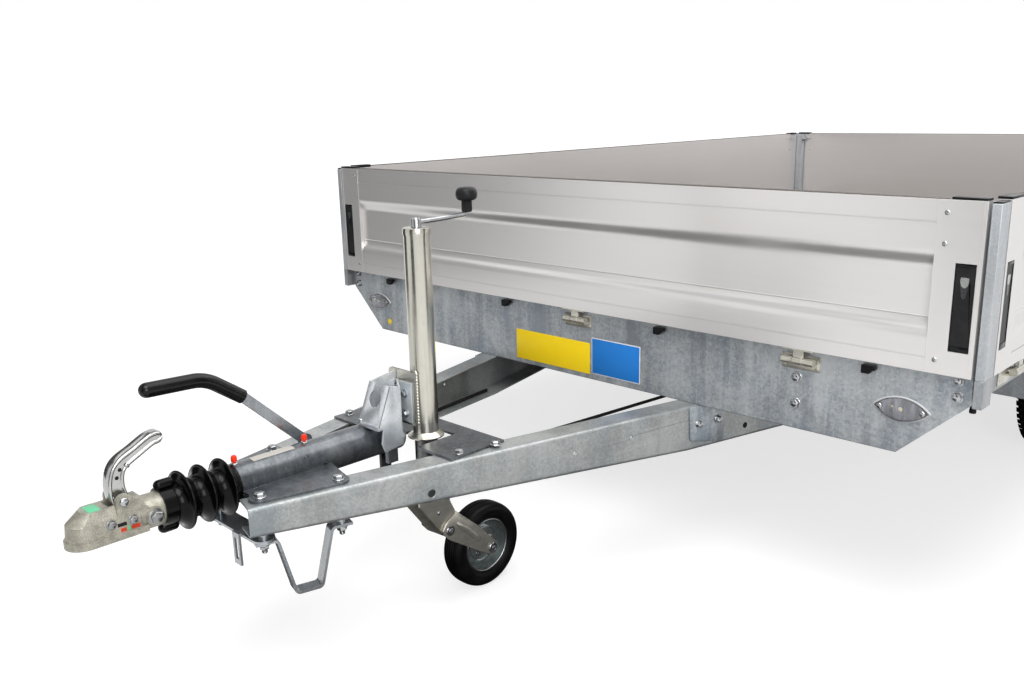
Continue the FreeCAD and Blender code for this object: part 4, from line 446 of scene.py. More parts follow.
@dataclass(frozen=True)
class TailLens(Finish):
    """Tail lamp lens in level bands: an amber band at the middle, red above and below it."""

    red: Colour = (0.50, 0.012, 0.012)
    amber: Colour = (0.85, 0.26, 0.015)
    level: float = 0.5015
    half_band: float = 0.016

    def paint(self, graph: Graph) -> None:
        """Bands by height, with a diamond pattern moulded in.

        Args:
            graph: The graph to fill.
        """
        height = graph.math("SUBTRACT", graph.axis(graph.place(), 2), self.level)
        band = graph.math("LESS_THAN", graph.math("ABSOLUTE", height), self.half_band)
        diamonds = graph.cells(graph.place(turn=(0.0, 0.785, 0.0)), 130.0)
        tone = graph.blend(self.red, self.amber, band)
        graph.set(Base_Color=graph.blend(tone, (0.8, 0.2, 0.1), graph.math("MULTIPLY", diamonds, 0.12)),
                  Roughness=0.08, Coat_Weight=0.8, Coat_Roughness=0.03)
        graph.bump(diamonds, 0.0008, 0.4)


@dataclass(frozen=True)
class FilmFacedPly(Finish):
    """Birch ply with a dark phenolic film and a small grip pattern."""

    film: Colour = (0.075, 0.043, 0.028)
    mesh: float = 190.0

    def paint(self, graph: Graph) -> None:
        """Grip mesh pressed into the film, with scuffs from loads.

        Args:
            graph: The graph to fill.
        """
        grip = graph.spread(graph.cells(graph.place(), self.mesh, edges=True), 0.02, 0.10)
        scuffs = graph.noise(graph.place((3.0, 14.0, 1.0)), 1.0, 6.0, 0.65, 0.4)
        scuffed = graph.blend(self.film, shade(self.film, 1.9), graph.spread(scuffs, 0.45, 0.75))
        graph.set(Base_Color=scuffed, Roughness=graph.around(0.40, scuffs, 0.3))
        graph.bump(grip, 0.0006, 0.8)


PANEL_ZINC = Galvanised("panel_zinc", dark=(0.24, 0.26, 0.28), light=(0.50, 0.525, 0.54), patch=7.0,
                        evenness=0.11)
BEAM_ZINC = Galvanised("beam_zinc", dark=(0.235, 0.245, 0.24), light=(0.42, 0.43, 0.425), crystal=190.0,
                       streak=9.0, evenness=0.12)
TUBE_ZINC = Galvanised("tube_zinc", dark=(0.070, 0.078, 0.086), light=(0.19, 0.20, 0.21), patch=12.0,
                       streak=60.0, rough=0.30, metallic=0.7)
PRESSED_ZINC = Galvanised("pressed_zinc", dark=(0.25, 0.265, 0.28), light=(0.46, 0.475, 0.49), patch=14.0,
                          crystal=200.0, rough=0.26, metallic=0.75)
LEVER_ZINC = Galvanised("lever_zinc", dark=(0.19, 0.20, 0.21), light=(0.36, 0.375, 0.39), patch=14.0,
                        crystal=200.0, rough=0.26, metallic=0.75)
HOLDER_ZINC = Galvanised("holder_zinc", dark=(0.50, 0.525, 0.545), light=(0.73, 0.755, 0.775), patch=14.0,
                         crystal=200.0, rough=0.26, metallic=0.55)
AXLE_ZINC = Galvanised("axle_zinc", dark=(0.15, 0.16, 0.17), light=(0.32, 0.33, 0.345), patch=12.0)
CHASSIS_ZINC = Galvanised("chassis_zinc", dark=(0.22, 0.23, 0.24), light=(0.42, 0.43, 0.44))
POST_ZINC = Galvanised("post_zinc", dark=(0.36, 0.375, 0.39), light=(0.58, 0.60, 0.615), patch=7.0,
                       crystal=240.0, streak=60.0)
BOARD_ALUMINIUM = Anodised("board_aluminium")
BOLT_ZINC = Plated("bolt_zinc", tone=(0.41, 0.42, 0.43), rough=0.20)
HINGE_NICKEL = Plated("hinge_nickel", tone=(0.56, 0.54, 0.47), rough=0.22, metallic=0.6,
                      grain=(8.0, 60.0, 60.0))
TUBE_SATIN = Plated("tube_satin", tone=(0.50, 0.485, 0.43), shade=0.90, rough=0.20, grain=(90.0, 90.0, 2.5))
INNER_ZINC = Plated("inner_zinc", tone=(0.15, 0.15, 0.155), rough=0.28, grain=(90.0, 90.0, 2.5))
HANDLE_ZINC = Plated("handle_zinc", tone=(0.43, 0.43, 0.425), shade=0.86, rough=0.17,
                     grain=(40.0, 12.0, 12.0))
FORK_ZINC = Plated("fork_zinc", tone=(0.54, 0.515, 0.455), rough=0.24, grain=(60.0, 12.0, 60.0),
                   metallic=0.7)
RIM_ZINC = Plated("rim_zinc", tone=(0.30, 0.335, 0.335), rough=0.18, grain=(60.0, 60.0, 60.0), metallic=0.7)
ROD_ZINC = Plated("rod_zinc", tone=(0.07, 0.07, 0.075), rough=0.42)
CAST_ZINC = Cast("cast_zinc", tone=(0.385, 0.367, 0.307))
WHEEL_SILVER = Painted("wheel_silver", tone=(0.52, 0.53, 0.54), rough=0.30)
BLACK_PLASTIC = Moulded("black_plastic", tone=(0.008, 0.008, 0.009))
LATCH_BLACK = Moulded("latch_black", tone=(0.016, 0.016, 0.017), rough=0.34)
GRIP_BLACK = Moulded("grip_black", tone=(0.004, 0.004, 0.0045), rough=0.22, skin=500.0, shine=0.22)
BELLOWS_BLACK = Moulded("bellows_black", tone=(0.001, 0.001, 0.001), rough=0.18, skin=260.0, depth=0.00008,
                        shine=0.12)
TYRE_BLACK = Moulded("tyre_black", tone=(0.003, 0.003, 0.003), rough=0.40, skin=320.0, depth=0.0003,
                     shine=0.13)
CABLE_BLACK = Moulded("cable_black", tone=(0.010, 0.010, 0.010), rough=0.42)
TRIM_BROWN = Moulded("trim_brown", tone=(0.05, 0.043, 0.036), rough=0.45)
# Near-black plating for the latch's thumb cup: painted shade of the thumb hollow.
LATCH_CUP_SHADE = Plated("latch_cup", tone=(0.07, 0.07, 0.075), rough=0.26)
LATCH_PIN = Plated("latch_pin", tone=(0.44, 0.46, 0.44), rough=0.22)
COUPLING_BOLT = Plated("coupling_bolt", tone=(0.27, 0.275, 0.27), rough=0.26)
CAP_RED = Moulded("cap_red", tone=(0.70, 0.03, 0.01), rough=0.30)
PLATE_YELLOW = Painted("plate_yellow", tone=(0.98, 0.69, 0.010))
PLATE_BLUE = Painted("plate_blue", tone=(0.020, 0.215, 0.67))
PLATE_WHITE = Painted("plate_white", tone=(0.80, 0.81, 0.82))
PLATE_GREEN = Painted("plate_green", tone=(0.12, 0.50, 0.27))
PLATE_GREY = Painted("plate_grey", tone=(0.42, 0.40, 0.37))
# Matte near-black: painted shade for the dark inside of holes, a slot and the gap inside the lamp rims, and
# the black of the studio's cards.
PAINTED_SHADE_BLACK = Painted("dark_recess", tone=(0.006, 0.006, 0.006), rough=0.7)
LAMP_CLEAR = Lens("lamp_clear")
# Lamp reflector: dark plating with strong stripes of lighter tone along the flutes, which are painted
# highlights.
LAMP_SILVER_PAINTED_GLINTS = Plated("lamp_silver", tone=(0.24, 0.24, 0.26), shade=0.35, rough=0.16,
                     grain=(160.0, 20.0, 12.0))
LAMP_BEZEL = Painted("lamp_bezel", tone=(0.62, 0.62, 0.63), rough=0.25)
PLATE_RED = Painted("plate_red", tone=(0.62, 0.05, 0.02))
LAMP_AMBER = Painted("lamp_amber", tone=(0.92, 0.80, 0.55), rough=0.2)
LAMP_RED = TailLens("lamp_red")
FLOOR_PLY = FilmFacedPly("floor_ply")


# Building meshes


class Shell:
    """Gathers the faces of one rigid piece and turns them into an object at the origin."""

    def __init__(self) -> None:
        """Start with no faces."""
        self.bm = bmesh.new()

    def prism(self, outline: Sequence[Point], travel: Point) -> "Shell":
        """Close a flat outline moved along a vector.

        Args:
            outline: Corners in order.
            travel: The move, in metres.

        Returns:
            This shell.
        """
        move = Vector(travel)
        low = [self.bm.verts.new(corner) for corner in outline]
        high = [self.bm.verts.new(Vector(corner) + move) for corner in outline]
        self.bm.faces.new(low[::-1])
        self.bm.faces.new(high)
        for a, b, c, d in zip(low, low[1:] + low[:1], high[1:] + high[:1], high):
            self.bm.faces.new((a, b, c, d))
        return self

    def box(self, corner: Point, opposite: Point) -> "Shell":
        """A block between two opposite corners."""
        (x0, x1), (y0, y1), (z0, z1) = (sorted(pair) for pair in zip(corner, opposite))
        return self.prism([(x0, y0, z0), (x1, y0, z0), (x1, y1, z0), (x0, y1, z0)], (0.0, 0.0, z1 - z0))

    def turn(self, base: Point, axis: Point, profile: Sequence[Pair], steps: int = 32) -> "Shell":
        """Turn an open profile about an axis; its ends are closed.

        Args:
            base: A point on the axis.
            axis: The axis's direction.
            profile: Pairs of distance along the axis and radius.
            steps: Faces round the axis.

        Returns:
            This shell.
        """
        return self._skin(self._turned(base, axis, profile, steps))

    def ring(self, base: Point, axis: Point, profile: Sequence[Pair], steps: int = 64) -> "Shell":
        """Turn a closed profile about an axis, as for a tyre."""
        return self._skin(self._turned(base, axis, profile, steps), closed=True)

    def sweep(self, path: Sequence[Point], radius: float, steps: int = 12) -> "Shell":
        """A round bar along a path of points.

        Args:
            path: The bar's centre line.
            radius: The bar's radius.
            steps: Faces round the bar.

        Returns:
            This shell.
        """
        points = [Vector(point) for point in path]
        headings = [(b - a).normalized() for a, b in zip(points[:-1], points[1:])]
        side = headings[0].orthogonal().normalized()
        rings = []
        for i, point in enumerate(points):
            heading = headings[min(i, len(headings) - 1)] + headings[max(i - 1, 0)]
            heading.normalize()
            side = (side - heading * side.dot(heading)).normalized()
            rings.append(self._circle(point, side, heading.cross(side), radius, steps))
        return self._skin(rings)

    def loft(self, rings: Sequence[Sequence[Point]]) -> "Shell":
        """Skin rings of the same number of points and close both ends."""
        return self._skin([[self.bm.verts.new(point) for point in ring] for ring in rings])

    def _circle(self, centre: Vector, side: Vector, other: Vector, radius: float, steps: int) -> list:
        """Vertices round a centre, in the plane of two directions."""
        return [self.bm.verts.new(centre + (side * math.cos(t) + other * math.sin(t)) * radius)
                for t in (math.tau * step / steps for step in range(steps))]

    def _turned(self, base: Point, axis: Point, profile: Sequence[Pair], steps: int) -> list[list]:
        """Rings of vertices for a profile about an axis; a point on the axis is a pole.

        Args:
            base: A point on the axis.
            axis: The axis's direction.
            profile: Pairs of distance along the axis and radius.
            steps: Faces round the axis.

        Returns:
            The rings.
        """
        origin, heading = Vector(base), Vector(axis).normalized()
        side = heading.orthogonal().normalized()
        other = heading.cross(side)
        places = [(origin + heading * along, radius) for along, radius in profile]
        return [self._circle(centre, side, other, radius, steps) if radius else [self.bm.verts.new(centre)]
                for centre, radius in places]

    def _skin(self, rings: list[list], closed: bool = False) -> "Shell":
        """Faces between neighbouring rings, then from the last to the first or a cap on each end.

        Args:
            rings: The rings in order.
            closed: Whether the last ring joins the first.

        Returns:
            This shell.
        """
        for first, second in zip(rings, rings[1:] + (rings[:1] if closed else [])):
            self._band(first, second)
        for ring in () if closed else (rings[0], rings[-1]):
            if len(ring) > 1:
                self.bm.faces.new(ring)
        return self

    def _band(self, first: list, second: list) -> None:
        """Faces between two neighbouring rings, either of which may be a pole.

        Args:
            first: A ring.
            second: The next one.
        """
        count = max(len(first), len(second))
        for i in range(count):
            j = (i + 1) % count
            corners = [ring[k % len(ring)] for ring, k in ((first, i), (first, j), (second, j), (second, i))]
            unique = list(dict.fromkeys(corners))
            if len(unique) > 2:
                self.bm.faces.new(unique)

    def bevel(self, width: float, segments: int = 2) -> "Shell":
        """Round every sharp edge made so far.

        Args:
            width: Width of the rounding, in metres.
            segments: Faces across it.

        Returns:
            This shell.
        """
        bmesh.ops.recalc_face_normals(self.bm, faces=self.bm.faces)
        sharp = [edge for edge in self.bm.edges
                 if len(edge.link_faces) == 2 and edge.calc_face_angle(0.0) > HARD_EDGE]
        bmesh.ops.bevel(self.bm, geom=sharp, offset=width, segments=segments, affect="EDGES", profile=0.5,
                        clamp_overlap=True)
        return self

    def mesh(self, name: str) -> bpy.types.Mesh:
        """The gathered faces as a mesh, pointing outwards and smooth but for sharp edges.

        Args:
            name: The mesh's name.

        Returns:
            The mesh.
        """
        bmesh.ops.recalc_face_normals(self.bm, faces=self.bm.faces)
        data = bpy.data.meshes.new(name)
        self.bm.to_mesh(data)
        self.bm.free()
        data.shade_smooth()
        data.set_sharp_from_angle(angle=HARD_EDGE)
        return data


def add_object(name: str, data: bpy.types.ID) -> bpy.types.Object:
    """A new object at the origin, linked to the scene.

    Args:
        name: The object's name.
        data: Its mesh, camera or lamp.

    Returns:
        The object.
    """
    made = bpy.data.objects.new(name, data)
    bpy.context.scene.collection.objects.link(made)
    return made


def place_piece(name: str, data: bpy.types.Mesh, finish: Finish, body: str) -> bpy.types.Object:
    """Make an object of a mesh, dress it and let it ride on a body.

    Args:
        name: The piece's name.
        data: Its mesh, in the row frame.
        finish: Its finish.
        body: The CAD body it moves with.

    Returns:
        The object.
    """
    piece = add_object(name, data)
    data.materials.clear()
    data.materials.append(finish.material())
    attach(piece, body)
    LOG.info("%s: %d faces on %s", name, len(data.polygons), body)
    return piece


def solid_piece(name: str, shell: Shell, finish: Finish, body: str = ROOT) -> bpy.types.Object:
    """Make a piece straight from a shell."""
    return place_piece(name, shell.mesh(name), finish, body)


# Geometry Nodes


class NodeTree(Nodes):
    """A Geometry Nodes tree with named inputs."""

    def __init__(self, name: str, **inputs: str) -> None:
        """Start a tree.

        Args:
            name: The tree's name.
            **inputs: Socket types by input name.
        """
        super().__init__(bpy.data.node_groups.new(name, "GeometryNodeTree"))
        interface = self.tree.interface
        interface.new_socket("Geometry", in_out="INPUT", socket_type="NodeSocketGeometry")
        self.identifiers = {key: interface.new_socket(key, in_out="INPUT", socket_type=kind).identifier
                            for key, kind in inputs.items()}
        interface.new_socket("Geometry", in_out="OUTPUT", socket_type="NodeSocketGeometry")
        self.source = self.add("NodeGroupInput")
        self.sink = self.add("NodeGroupOutput")

    def input(self, key: str) -> Socket:
        """The group's input of that name."""
        return self.source.outputs[key]

    def end(self, geometry: Socket) -> None:
        """Send the geometry out of the tree."""
        self.feed(self.sink.inputs["Geometry"], geometry)

    def end_instances(self, instances: Socket) -> None:
        """Realize the instances, set the material and send them out of the tree.

        Args:
            instances: The instances.
        """
        whole = self.add("GeometryNodeRealizeInstances", Geometry=instances)
        self.end(self.add("GeometryNodeSetMaterial", Geometry=whole.outputs["Geometry"],
                          Material=self.input("Finish")).outputs["Geometry"])

    def bake(self, name: str, data: bpy.types.Mesh, **values: object) -> bpy.types.Mesh:
        """Run the tree on a mesh once and return the plain result.

        Args:
            name: The new mesh's name.
            data: The mesh that the tree starts from.
            **values: The group's inputs.

        Returns:
            The plain mesh.
        """
        carrier = add_object(name + "_carrier", data)
        modifier = carrier.modifiers.new("nodes", "NODES")
        modifier.node_group = self.tree
        for key, value in values.items():
            modifier[self.identifiers[key]] = value
        depsgraph = bpy.context.evaluated_depsgraph_get()
        made = bpy.data.meshes.new_from_object(carrier.evaluated_get(depsgraph), depsgraph=depsgraph)
        carrier.modifiers.clear()
        bpy.data.objects.remove(carrier)
        made.name = name
        made.shade_smooth()
        made.set_sharp_from_angle(angle=HARD_EDGE)
        return made


THREAD_TURNS = tuple(pair for turn in range(6)
                     for pair in ((0.06 + turn * 0.13, 0.58), (0.12 + turn * 0.13, 0.52)))


class Fastener(Enum):
    """The small parts that are set on points, as turned solids: foot, faces round it and profile.

    Each is of unit radius, stands on the origin and faces +z.
    """

    HEX_BOLT = ((0.0, 24, ((0, 0), (0, 1.22), (0.14, 1.22), (0.20, 1.15), (0.20, 0))),
                (0.20, 6, ((0, 0), (0, 1), (0.58, 1), (0.72, 0.86), (0.72, 0))),
                (0.92, 16, ((0, 0), (0, 0.74), (0.05, 0.66), (0.05, 0))))
    NUT = ((0.0, 24, ((0, 0), (0, 1.4), (0.24, 1.4), (0.24, 0))),
           (0.24, 6, ((0, 0), (0, 0.9), (0.12, 1), (0.82, 1), (0.94, 0.88), (0.94, 0))),
           (1.18, 14, ((0, 0), (0, 0.52), *THREAD_TURNS, (0.9, 0.46), (0.9, 0))))
    SCREW = ((0.0, 18, ((0, 0), (0, 1), (0.18, 0.98), (0.38, 0.78), (0.48, 0.5), (0.5, 0.34), (0.2, 0.26),
                        (0.2, 0))),)
    RIVET = ((0.0, 16, ((0, 0), (0, 1), (0.2, 0.94), (0.38, 0.7), (0.46, 0.36), (0.48, 0))),)
    GREASE_CAP = ((0.0, 16, ((0, 0), (0, 0.9), (0.35, 0.9), (0.35, 0.55), (0.8, 0.5), (0.8, 0))),
                  (0.8, 18, ((0, 0), (0, 0.72), (0.12, 0.95), (0.9, 1), (1.6, 0.92), (2.0, 0.62), (2.1, 0))))
    BEAD = ((0.0, 10, ((-0.3, 0), (-0.3, 0.6), (0, 1), (0.3, 0.8), (0.45, 0.4), (0.5, 0))),)
    WHEEL_BOLT = ((0.0, 18, ((0, 0), (0, 1.15), (0.35, 0.98), (0.35, 0))),
                  (0.35, 6, ((0, 0), (0, 0.9), (0.9, 0.9), (1.1, 0.7), (1.1, 0))))

    def mesh(self) -> bpy.types.Mesh:
        """The fastener's mesh.

        Returns:
            The mesh.
        """
        shell = Shell()
        for foot, steps, profile in self.value:
            shell.turn((0.0, 0.0, foot), (0.0, 0.0, 1.0), profile, steps)
        return shell.mesh(self.name.lower())


@dataclass
class Spots:
    """Where the fasteners of one field sit: a point, the way it faces, and the size."""

    points: list[Point] = field(default_factory=list)
    facings: list[Point] = field(default_factory=list)
    sizes: list[float] = field(default_factory=list)

    def add(self, point: Point, facing: Point, size: float) -> "Spots":
        """Add one spot.

        Args:
            point: Where it sits.
            facing: The way it faces.
            size: The fastener's radius.

        Returns:
            These spots.
        """
        self.points.append(point)
        self.facings.append(facing)
        self.sizes.append(size)
        return self

    def both_sides(self, point: Point, facing: Point, size: float) -> "Spots":
        """Add one spot and its mirror image across the middle."""
        self.add(point, facing, size)
        return self.add((-point[0], point[1], point[2]), (-facing[0], facing[1], facing[2]), size)

    def mesh(self, name: str) -> bpy.types.Mesh:
        """The spots as loose points that carry their facing and size.

        Args:
            name: The mesh's name.

        Returns:
            The mesh.
        """
        data = bpy.data.meshes.new(name)
        data.from_pydata(self.points, [], [])
        data.attributes.new("facing", "FLOAT_VECTOR", "POINT")
        data.attributes.new("size", "FLOAT", "POINT")
        facing, size = data.attributes["facing"].data, data.attributes["size"].data
        for i, (way, value) in enumerate(zip(self.facings, self.sizes)):
            facing[i].vector = way
            size[i].value = value
        return data


class FastenerSetter:
    """Sets fasteners on spots with one Geometry Nodes tree."""

    LARGEST_SPIN = math.tau
    SEED = 7

    def __init__(self) -> None:
        """Build the tree: turn each fastener to its facing, spin it at random and scale it.

        The largest spin and the stretch go by the number of their sockets.
        """
        nodes = self.nodes = NodeTree("set_fasteners", Fastener="NodeSocketObject", Spin="NodeSocketFloat",
                                      Stretch="NodeSocketVector", Finish="NodeSocketMaterial")
        facing = nodes.add("GeometryNodeInputNamedAttribute", {"data_type": "FLOAT_VECTOR"}, Name="facing")
        size = nodes.add("GeometryNodeInputNamedAttribute", {"data_type": "FLOAT"}, Name="size")
        turned = nodes.add("FunctionNodeAlignRotationToVector", {"axis": "Z"},
                           Vector=facing.outputs["Attribute"])
        angle = nodes.add("FunctionNodeRandomValue", {"data_type": "FLOAT"}, Seed=self.SEED)
        nodes.feed(angle.inputs[3], nodes.input("Spin"))
        spin = nodes.add("ShaderNodeCombineXYZ", Z=angle.outputs[1])
        turn = nodes.add("FunctionNodeEulerToRotation", Euler=spin.outputs["Vector"])
        whole = nodes.add("FunctionNodeRotateRotation", {"rotation_space": "LOCAL"},
                          Rotation=turned.outputs["Rotation"], Rotate_By=turn.outputs["Rotation"])
        scale = nodes.add("ShaderNodeVectorMath", {"operation": "SCALE"}, Scale=size.outputs["Attribute"])
        nodes.feed(scale.inputs[0], nodes.input("Stretch"))
        shape = nodes.add("GeometryNodeObjectInfo", {"transform_space": "ORIGINAL"},
                          Object=nodes.input("Fastener"))
        placed = nodes.add("GeometryNodeInstanceOnPoints", Points=nodes.input("Geometry"),
                           Instance=shape.outputs["Geometry"], Rotation=whole.outputs["Rotation"],
                           Scale=scale.outputs["Vector"])
        nodes.end_instances(placed.outputs["Instances"])

    def set(self, name: str, kind: Fastener, spots: Spots, finish: Finish, slot: str = "galvanised_steel",
            body: str = ROOT, stretch: Point = (1.0, 1.0, 1.0)) -> bpy.types.Object:
        """Make one piece of all the fasteners of a field.

        Args:
            name: The piece's name.
            kind: Which fastener.
            spots: Where they sit.
            finish: What they are finished with.
            slot: The record's material slot. Not used.
            body: The CAD body they ride on.
            stretch: Stretch of the fastener along its own axes.

        Returns:
            The piece.
        """
        shape = add_object(kind.name.lower(), kind.mesh())
        made = self.nodes.bake(name, spots.mesh(name + "_spots"), Fastener=shape, Spin=self.LARGEST_SPIN,
                               Stretch=stretch, Finish=finish.material())
        bpy.data.objects.remove(shape)
        return place_piece(name, made, finish, body)


class Dresser:
    """Gives CAD nodes their finish, closes and smooths their facets and rounds their edges."""

    SEAM = 0.00002
    CREASE = math.radians(32)
    ROUNDED_EDGE = math.radians(50)

    def __init__(self) -> None:
        """Build the tree that closes loose triangles and shades all but the sharp edges smooth."""
        nodes = self.nodes = NodeTree("soften_facets", Seam="NodeSocketFloat", Crease="NodeSocketFloat")
        closed = nodes.add("GeometryNodeMergeByDistance", Geometry=nodes.input("Geometry"),
                           Distance=nodes.input("Seam"))
        faces = nodes.add("GeometryNodeSetShadeSmooth", {"domain": "FACE"},
                          Geometry=closed.outputs["Geometry"], Shade_Smooth=True)
        angle = nodes.add("GeometryNodeInputMeshEdgeAngle")
        sharp = nodes.add("FunctionNodeCompare", {"data_type": "FLOAT", "operation": "GREATER_THAN"},
                          A=angle.outputs["Unsigned Angle"], B=nodes.input("Crease"))
        edges = nodes.add("GeometryNodeSetShadeSmooth", {"domain": "EDGE"}, Shade_Smooth=False,
                          Geometry=faces.outputs["Geometry"], Selection=sharp.outputs["Result"])
        nodes.end(edges.outputs["Geometry"])

    def dress(self, finish: Finish, rounding: float, *names: str) -> None:
        """Dress CAD nodes.

        Args:
            finish: What they are finished with.
            rounding: Width of the rounding of their sharp edges in metres, or nothing.
            *names: The nodes' names.
        """
        for name in names:
            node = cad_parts[name]
            node.data.materials.clear()
            node.data.materials.append(finish.material())
            softener = node.modifiers.new("soften", "NODES")
            softener.node_group = self.nodes.tree
            softener[self.nodes.identifiers["Seam"]] = self.SEAM
            softener[self.nodes.identifiers["Crease"]] = self.CREASE
            if rounding:
                edges = node.modifiers.new("edges", "BEVEL")
                edges.width, edges.segments = rounding, 2
                edges.limit_method, edges.angle_limit = "ANGLE", self.ROUNDED_EDGE
                edges.harden_normals = False
            LOG.info("%s: finished as %s", name, finish.name)


# The trailer's pieces


SETTER = FastenerSetter()
DRESSER = Dresser()


@dataclass
class LoadBed:
    """Boards, corner posts, latches, hinges, hooks and the floor.

    Sizes are in metres. The outer face of the front board is at y = front. The end hinges are given by
    their x, and the side hinges and all hooks by shares of a length.
    """

    front: float = -0.902
    rear: float = 2.275
    half_width: float = 1.066
    end_half: float = 1.042
    side_first: float = -0.846
    side_last: float = 2.219
    board_bottom: float = 0.630
    board_top: float = 0.980
    thickness: float = 0.027
    end_profile: float = 0.092
    screw_inset: float = 0.0735
    screw_drops: tuple[float, ...] = (0.025, 0.086, 0.321)
    latch_inset: float = 0.030
    latch_top: float = 0.858
    latch_height: float = 0.178
    cup_radius: float = 0.0092
    end_hinges: tuple[float, ...] = (-0.667, 0.0, 0.667)
    side_hinges: tuple[float, ...] = (-0.42, -0.21, 0.0, 0.21, 0.42)
    end_hooks: tuple[float, ...] = (0.259, 0.776)
    side_hooks: tuple[float, ...] = (0.08, 0.24, 0.40)

    def build(self) -> None:
        """Dress the CAD nodes and add the trim."""
        DRESSER.dress(BOARD_ALUMINIUM, 0.0008, *(f"{side}_board" for side in DROPSIDES))
        DRESSER.dress(LATCH_BLACK, 0.001, *(f"{side}_latches" for side in DROPSIDES))
        DRESSER.dress(HINGE_NICKEL, 0.0008, *(f"{side}_hinge_leaves" for side in DROPSIDES), "hinge_seats")
        DRESSER.dress(POST_ZINC, 0.0012, "corner_posts")
        DRESSER.dress(FLOOR_PLY, 0.0006, "floor")
        for side in DROPSIDES:
            self.trim_board(side)
        self.corner_caps()
        self.hinge_plates()
        self.corner_clasps()
        self.hooks()
        self.corner_stops()

    def along(self, side: str, distance: float, out: float, height: float) -> Point:
        """A point on a board.

        Args:
            side: Which board.
            distance: Distance from its middle to the left, as seen from inside the bed.
            out: Distance out from the outer face.
            height: Height over the ground.

        Returns:
            The point.
        """
        middle = (self.side_first + self.side_last) / 2
        return {"front": (distance, self.front - out, height),
                "rear": (-distance, self.rear + out, height),
                "left": (self.half_width + out, middle + distance, height),
                "right": (-self.half_width - out, middle - distance, height)}[side]

    def half(self, side: str) -> float:
        """Half of a board's length."""
        return self.end_half if side in ("front", "rear") else (self.side_last - self.side_first) / 2

    def corners(self) -> list[tuple[int, float, int]]:
        """For each corner its side (1 for left), the y of its end and which way along y is inwards."""
        return [(across, end, inward) for across in (-1, 1)
                for end, inward in ((self.front, 1), (self.rear, -1))]

    def strip(self, shell: Shell, side: str, distances: Pair, outs: Pair, heights: Pair) -> None:
        """Add a block along a board, between two distances, outs and heights."""
        shell.box(*(self.along(side, *place) for place in zip(distances, outs, heights)))

    def end_spots(self, side: str, out: float, facing: Point, size: float) -> Spots:
        """Three spots above one another in each end profile of a board.

        Args:
            side: Which board.
            out: Distance out from the outer face.
            facing: The way they face.
            size: The fasteners' radius.

        Returns:
            The spots.
        """
        spots = Spots()
        for sign in (-1, 1):
            for drop in self.screw_drops:
                distance = sign * (self.half(side) - self.screw_inset)
                spots.add(self.along(side, distance, out, self.board_top - drop), facing, size)
        return spots

    def trim_board(self, side: str) -> None:
        """Top strip, screws and rivets of the end profiles, and latch details of one board.

        Args:
            side: Which board.
        """
        body, reach, top = f"{side}_dropside", self.half(side) - 0.002, Shell()
        self.strip(top, side, (-reach, reach), (-0.0006, -self.thickness + 0.0006),
                   (self.board_top - 0.0002, self.board_top + 0.0012))
        solid_piece(f"{side}_top_strip", top.bevel(0.0005), TRIM_BROWN, body)
        inwards = tuple(-value for value in FACING[side])
        SETTER.set(f"{side}_end_rivets", Fastener.RIVET,
                   self.end_spots(side, -self.thickness, inwards, 0.0045), BOLT_ZINC, "hinge_steel", body)
        if side == "front":
            SETTER.set(f"{side}_end_screws", Fastener.SCREW,
                       self.end_spots(side, 0.0, FACING[side], 0.0052), BOLT_ZINC, "hinge_steel", body)
            self.end_seams(side, body)
        self.latch_details(side, body)

    def end_seams(self, side: str, body: str) -> None:
        """Fine ridges where the end profiles of a board begin and end.

        Args:
            side: Which board.
            body: The CAD body they ride on.
        """
        seams = Shell()
        for sign in (-1, 1):
            for inset, width in ((self.end_profile, 0.0014), (0.006, -0.0016)):
                edge = sign * (self.half(side) - inset)
                self.strip(seams, side, (edge, edge + sign * width), (-0.0002, 0.0007),
                           (self.board_bottom + 0.001, self.board_top - 0.001))
        solid_piece(f"{side}_end_seams", seams, BOARD_ALUMINIUM, body)

    def latch_details(self, side: str, body: str) -> None:
        """Raised border, thumb cup and pin of the two latches of a board; the cup is a flat near-black
        teardrop, painted shade of the thumb hollow.

        Args:
            side: Which board.
            body: The CAD body they ride on.
        """
        bands, cups, pins = Shell(), Shell(), Shell()
        low, high = self.latch_top - self.latch_height, self.latch_top - 0.007
        back = tuple(-value * 0.0006 for value in FACING[side])
        bow = [(self.cup_radius * math.cos(t), self.cup_radius * math.sin(t) - self.cup_radius)
               for t in (math.pi * step / 10 for step in range(11))]
        cup = bow + [(-0.0040, -0.0430), (0.0, -0.0455), (0.0040, -0.0430)]
        pin = [(0.0078, -0.0025), (0.0082, -0.0100), (0.0062, -0.0185), (0.0022, -0.0225)]
        pin += [(-u, z) for u, z in pin[::-1]]
        for sign in (-1, 1):
            middle = sign * (self.half(side) - self.latch_inset)
            for heights in ((high, self.latch_top - 0.001), (low + 0.001, low + 0.012)):
                self.strip(bands, side, (middle - 0.0195, middle + 0.0195), (-0.0055, -0.0001), heights)
            for edge in (-1, 1):
                self.strip(bands, side, (middle + edge * 0.0197, middle + edge * 0.0183),
                           (-0.003, -0.0002), (low + 0.012, high))
            # The cup's near-black is painted shade of the thumb hollow; the lighter pin sits over it.
            for shell, out, outline in ((cups, -0.00115, cup), (pins, -0.00085, pin)):
                shell.prism([self.along(side, middle + u, out, self.latch_top - 0.025 + z)
                             for u, z in outline], back)
        solid_piece(f"{side}_latch_bands", bands.bevel(0.0008), GRIP_BLACK, body)
        solid_piece(f"{side}_latch_cups", cups, LATCH_CUP_SHADE, body)
        solid_piece(f"{side}_latch_pins", pins, LATCH_PIN, body)

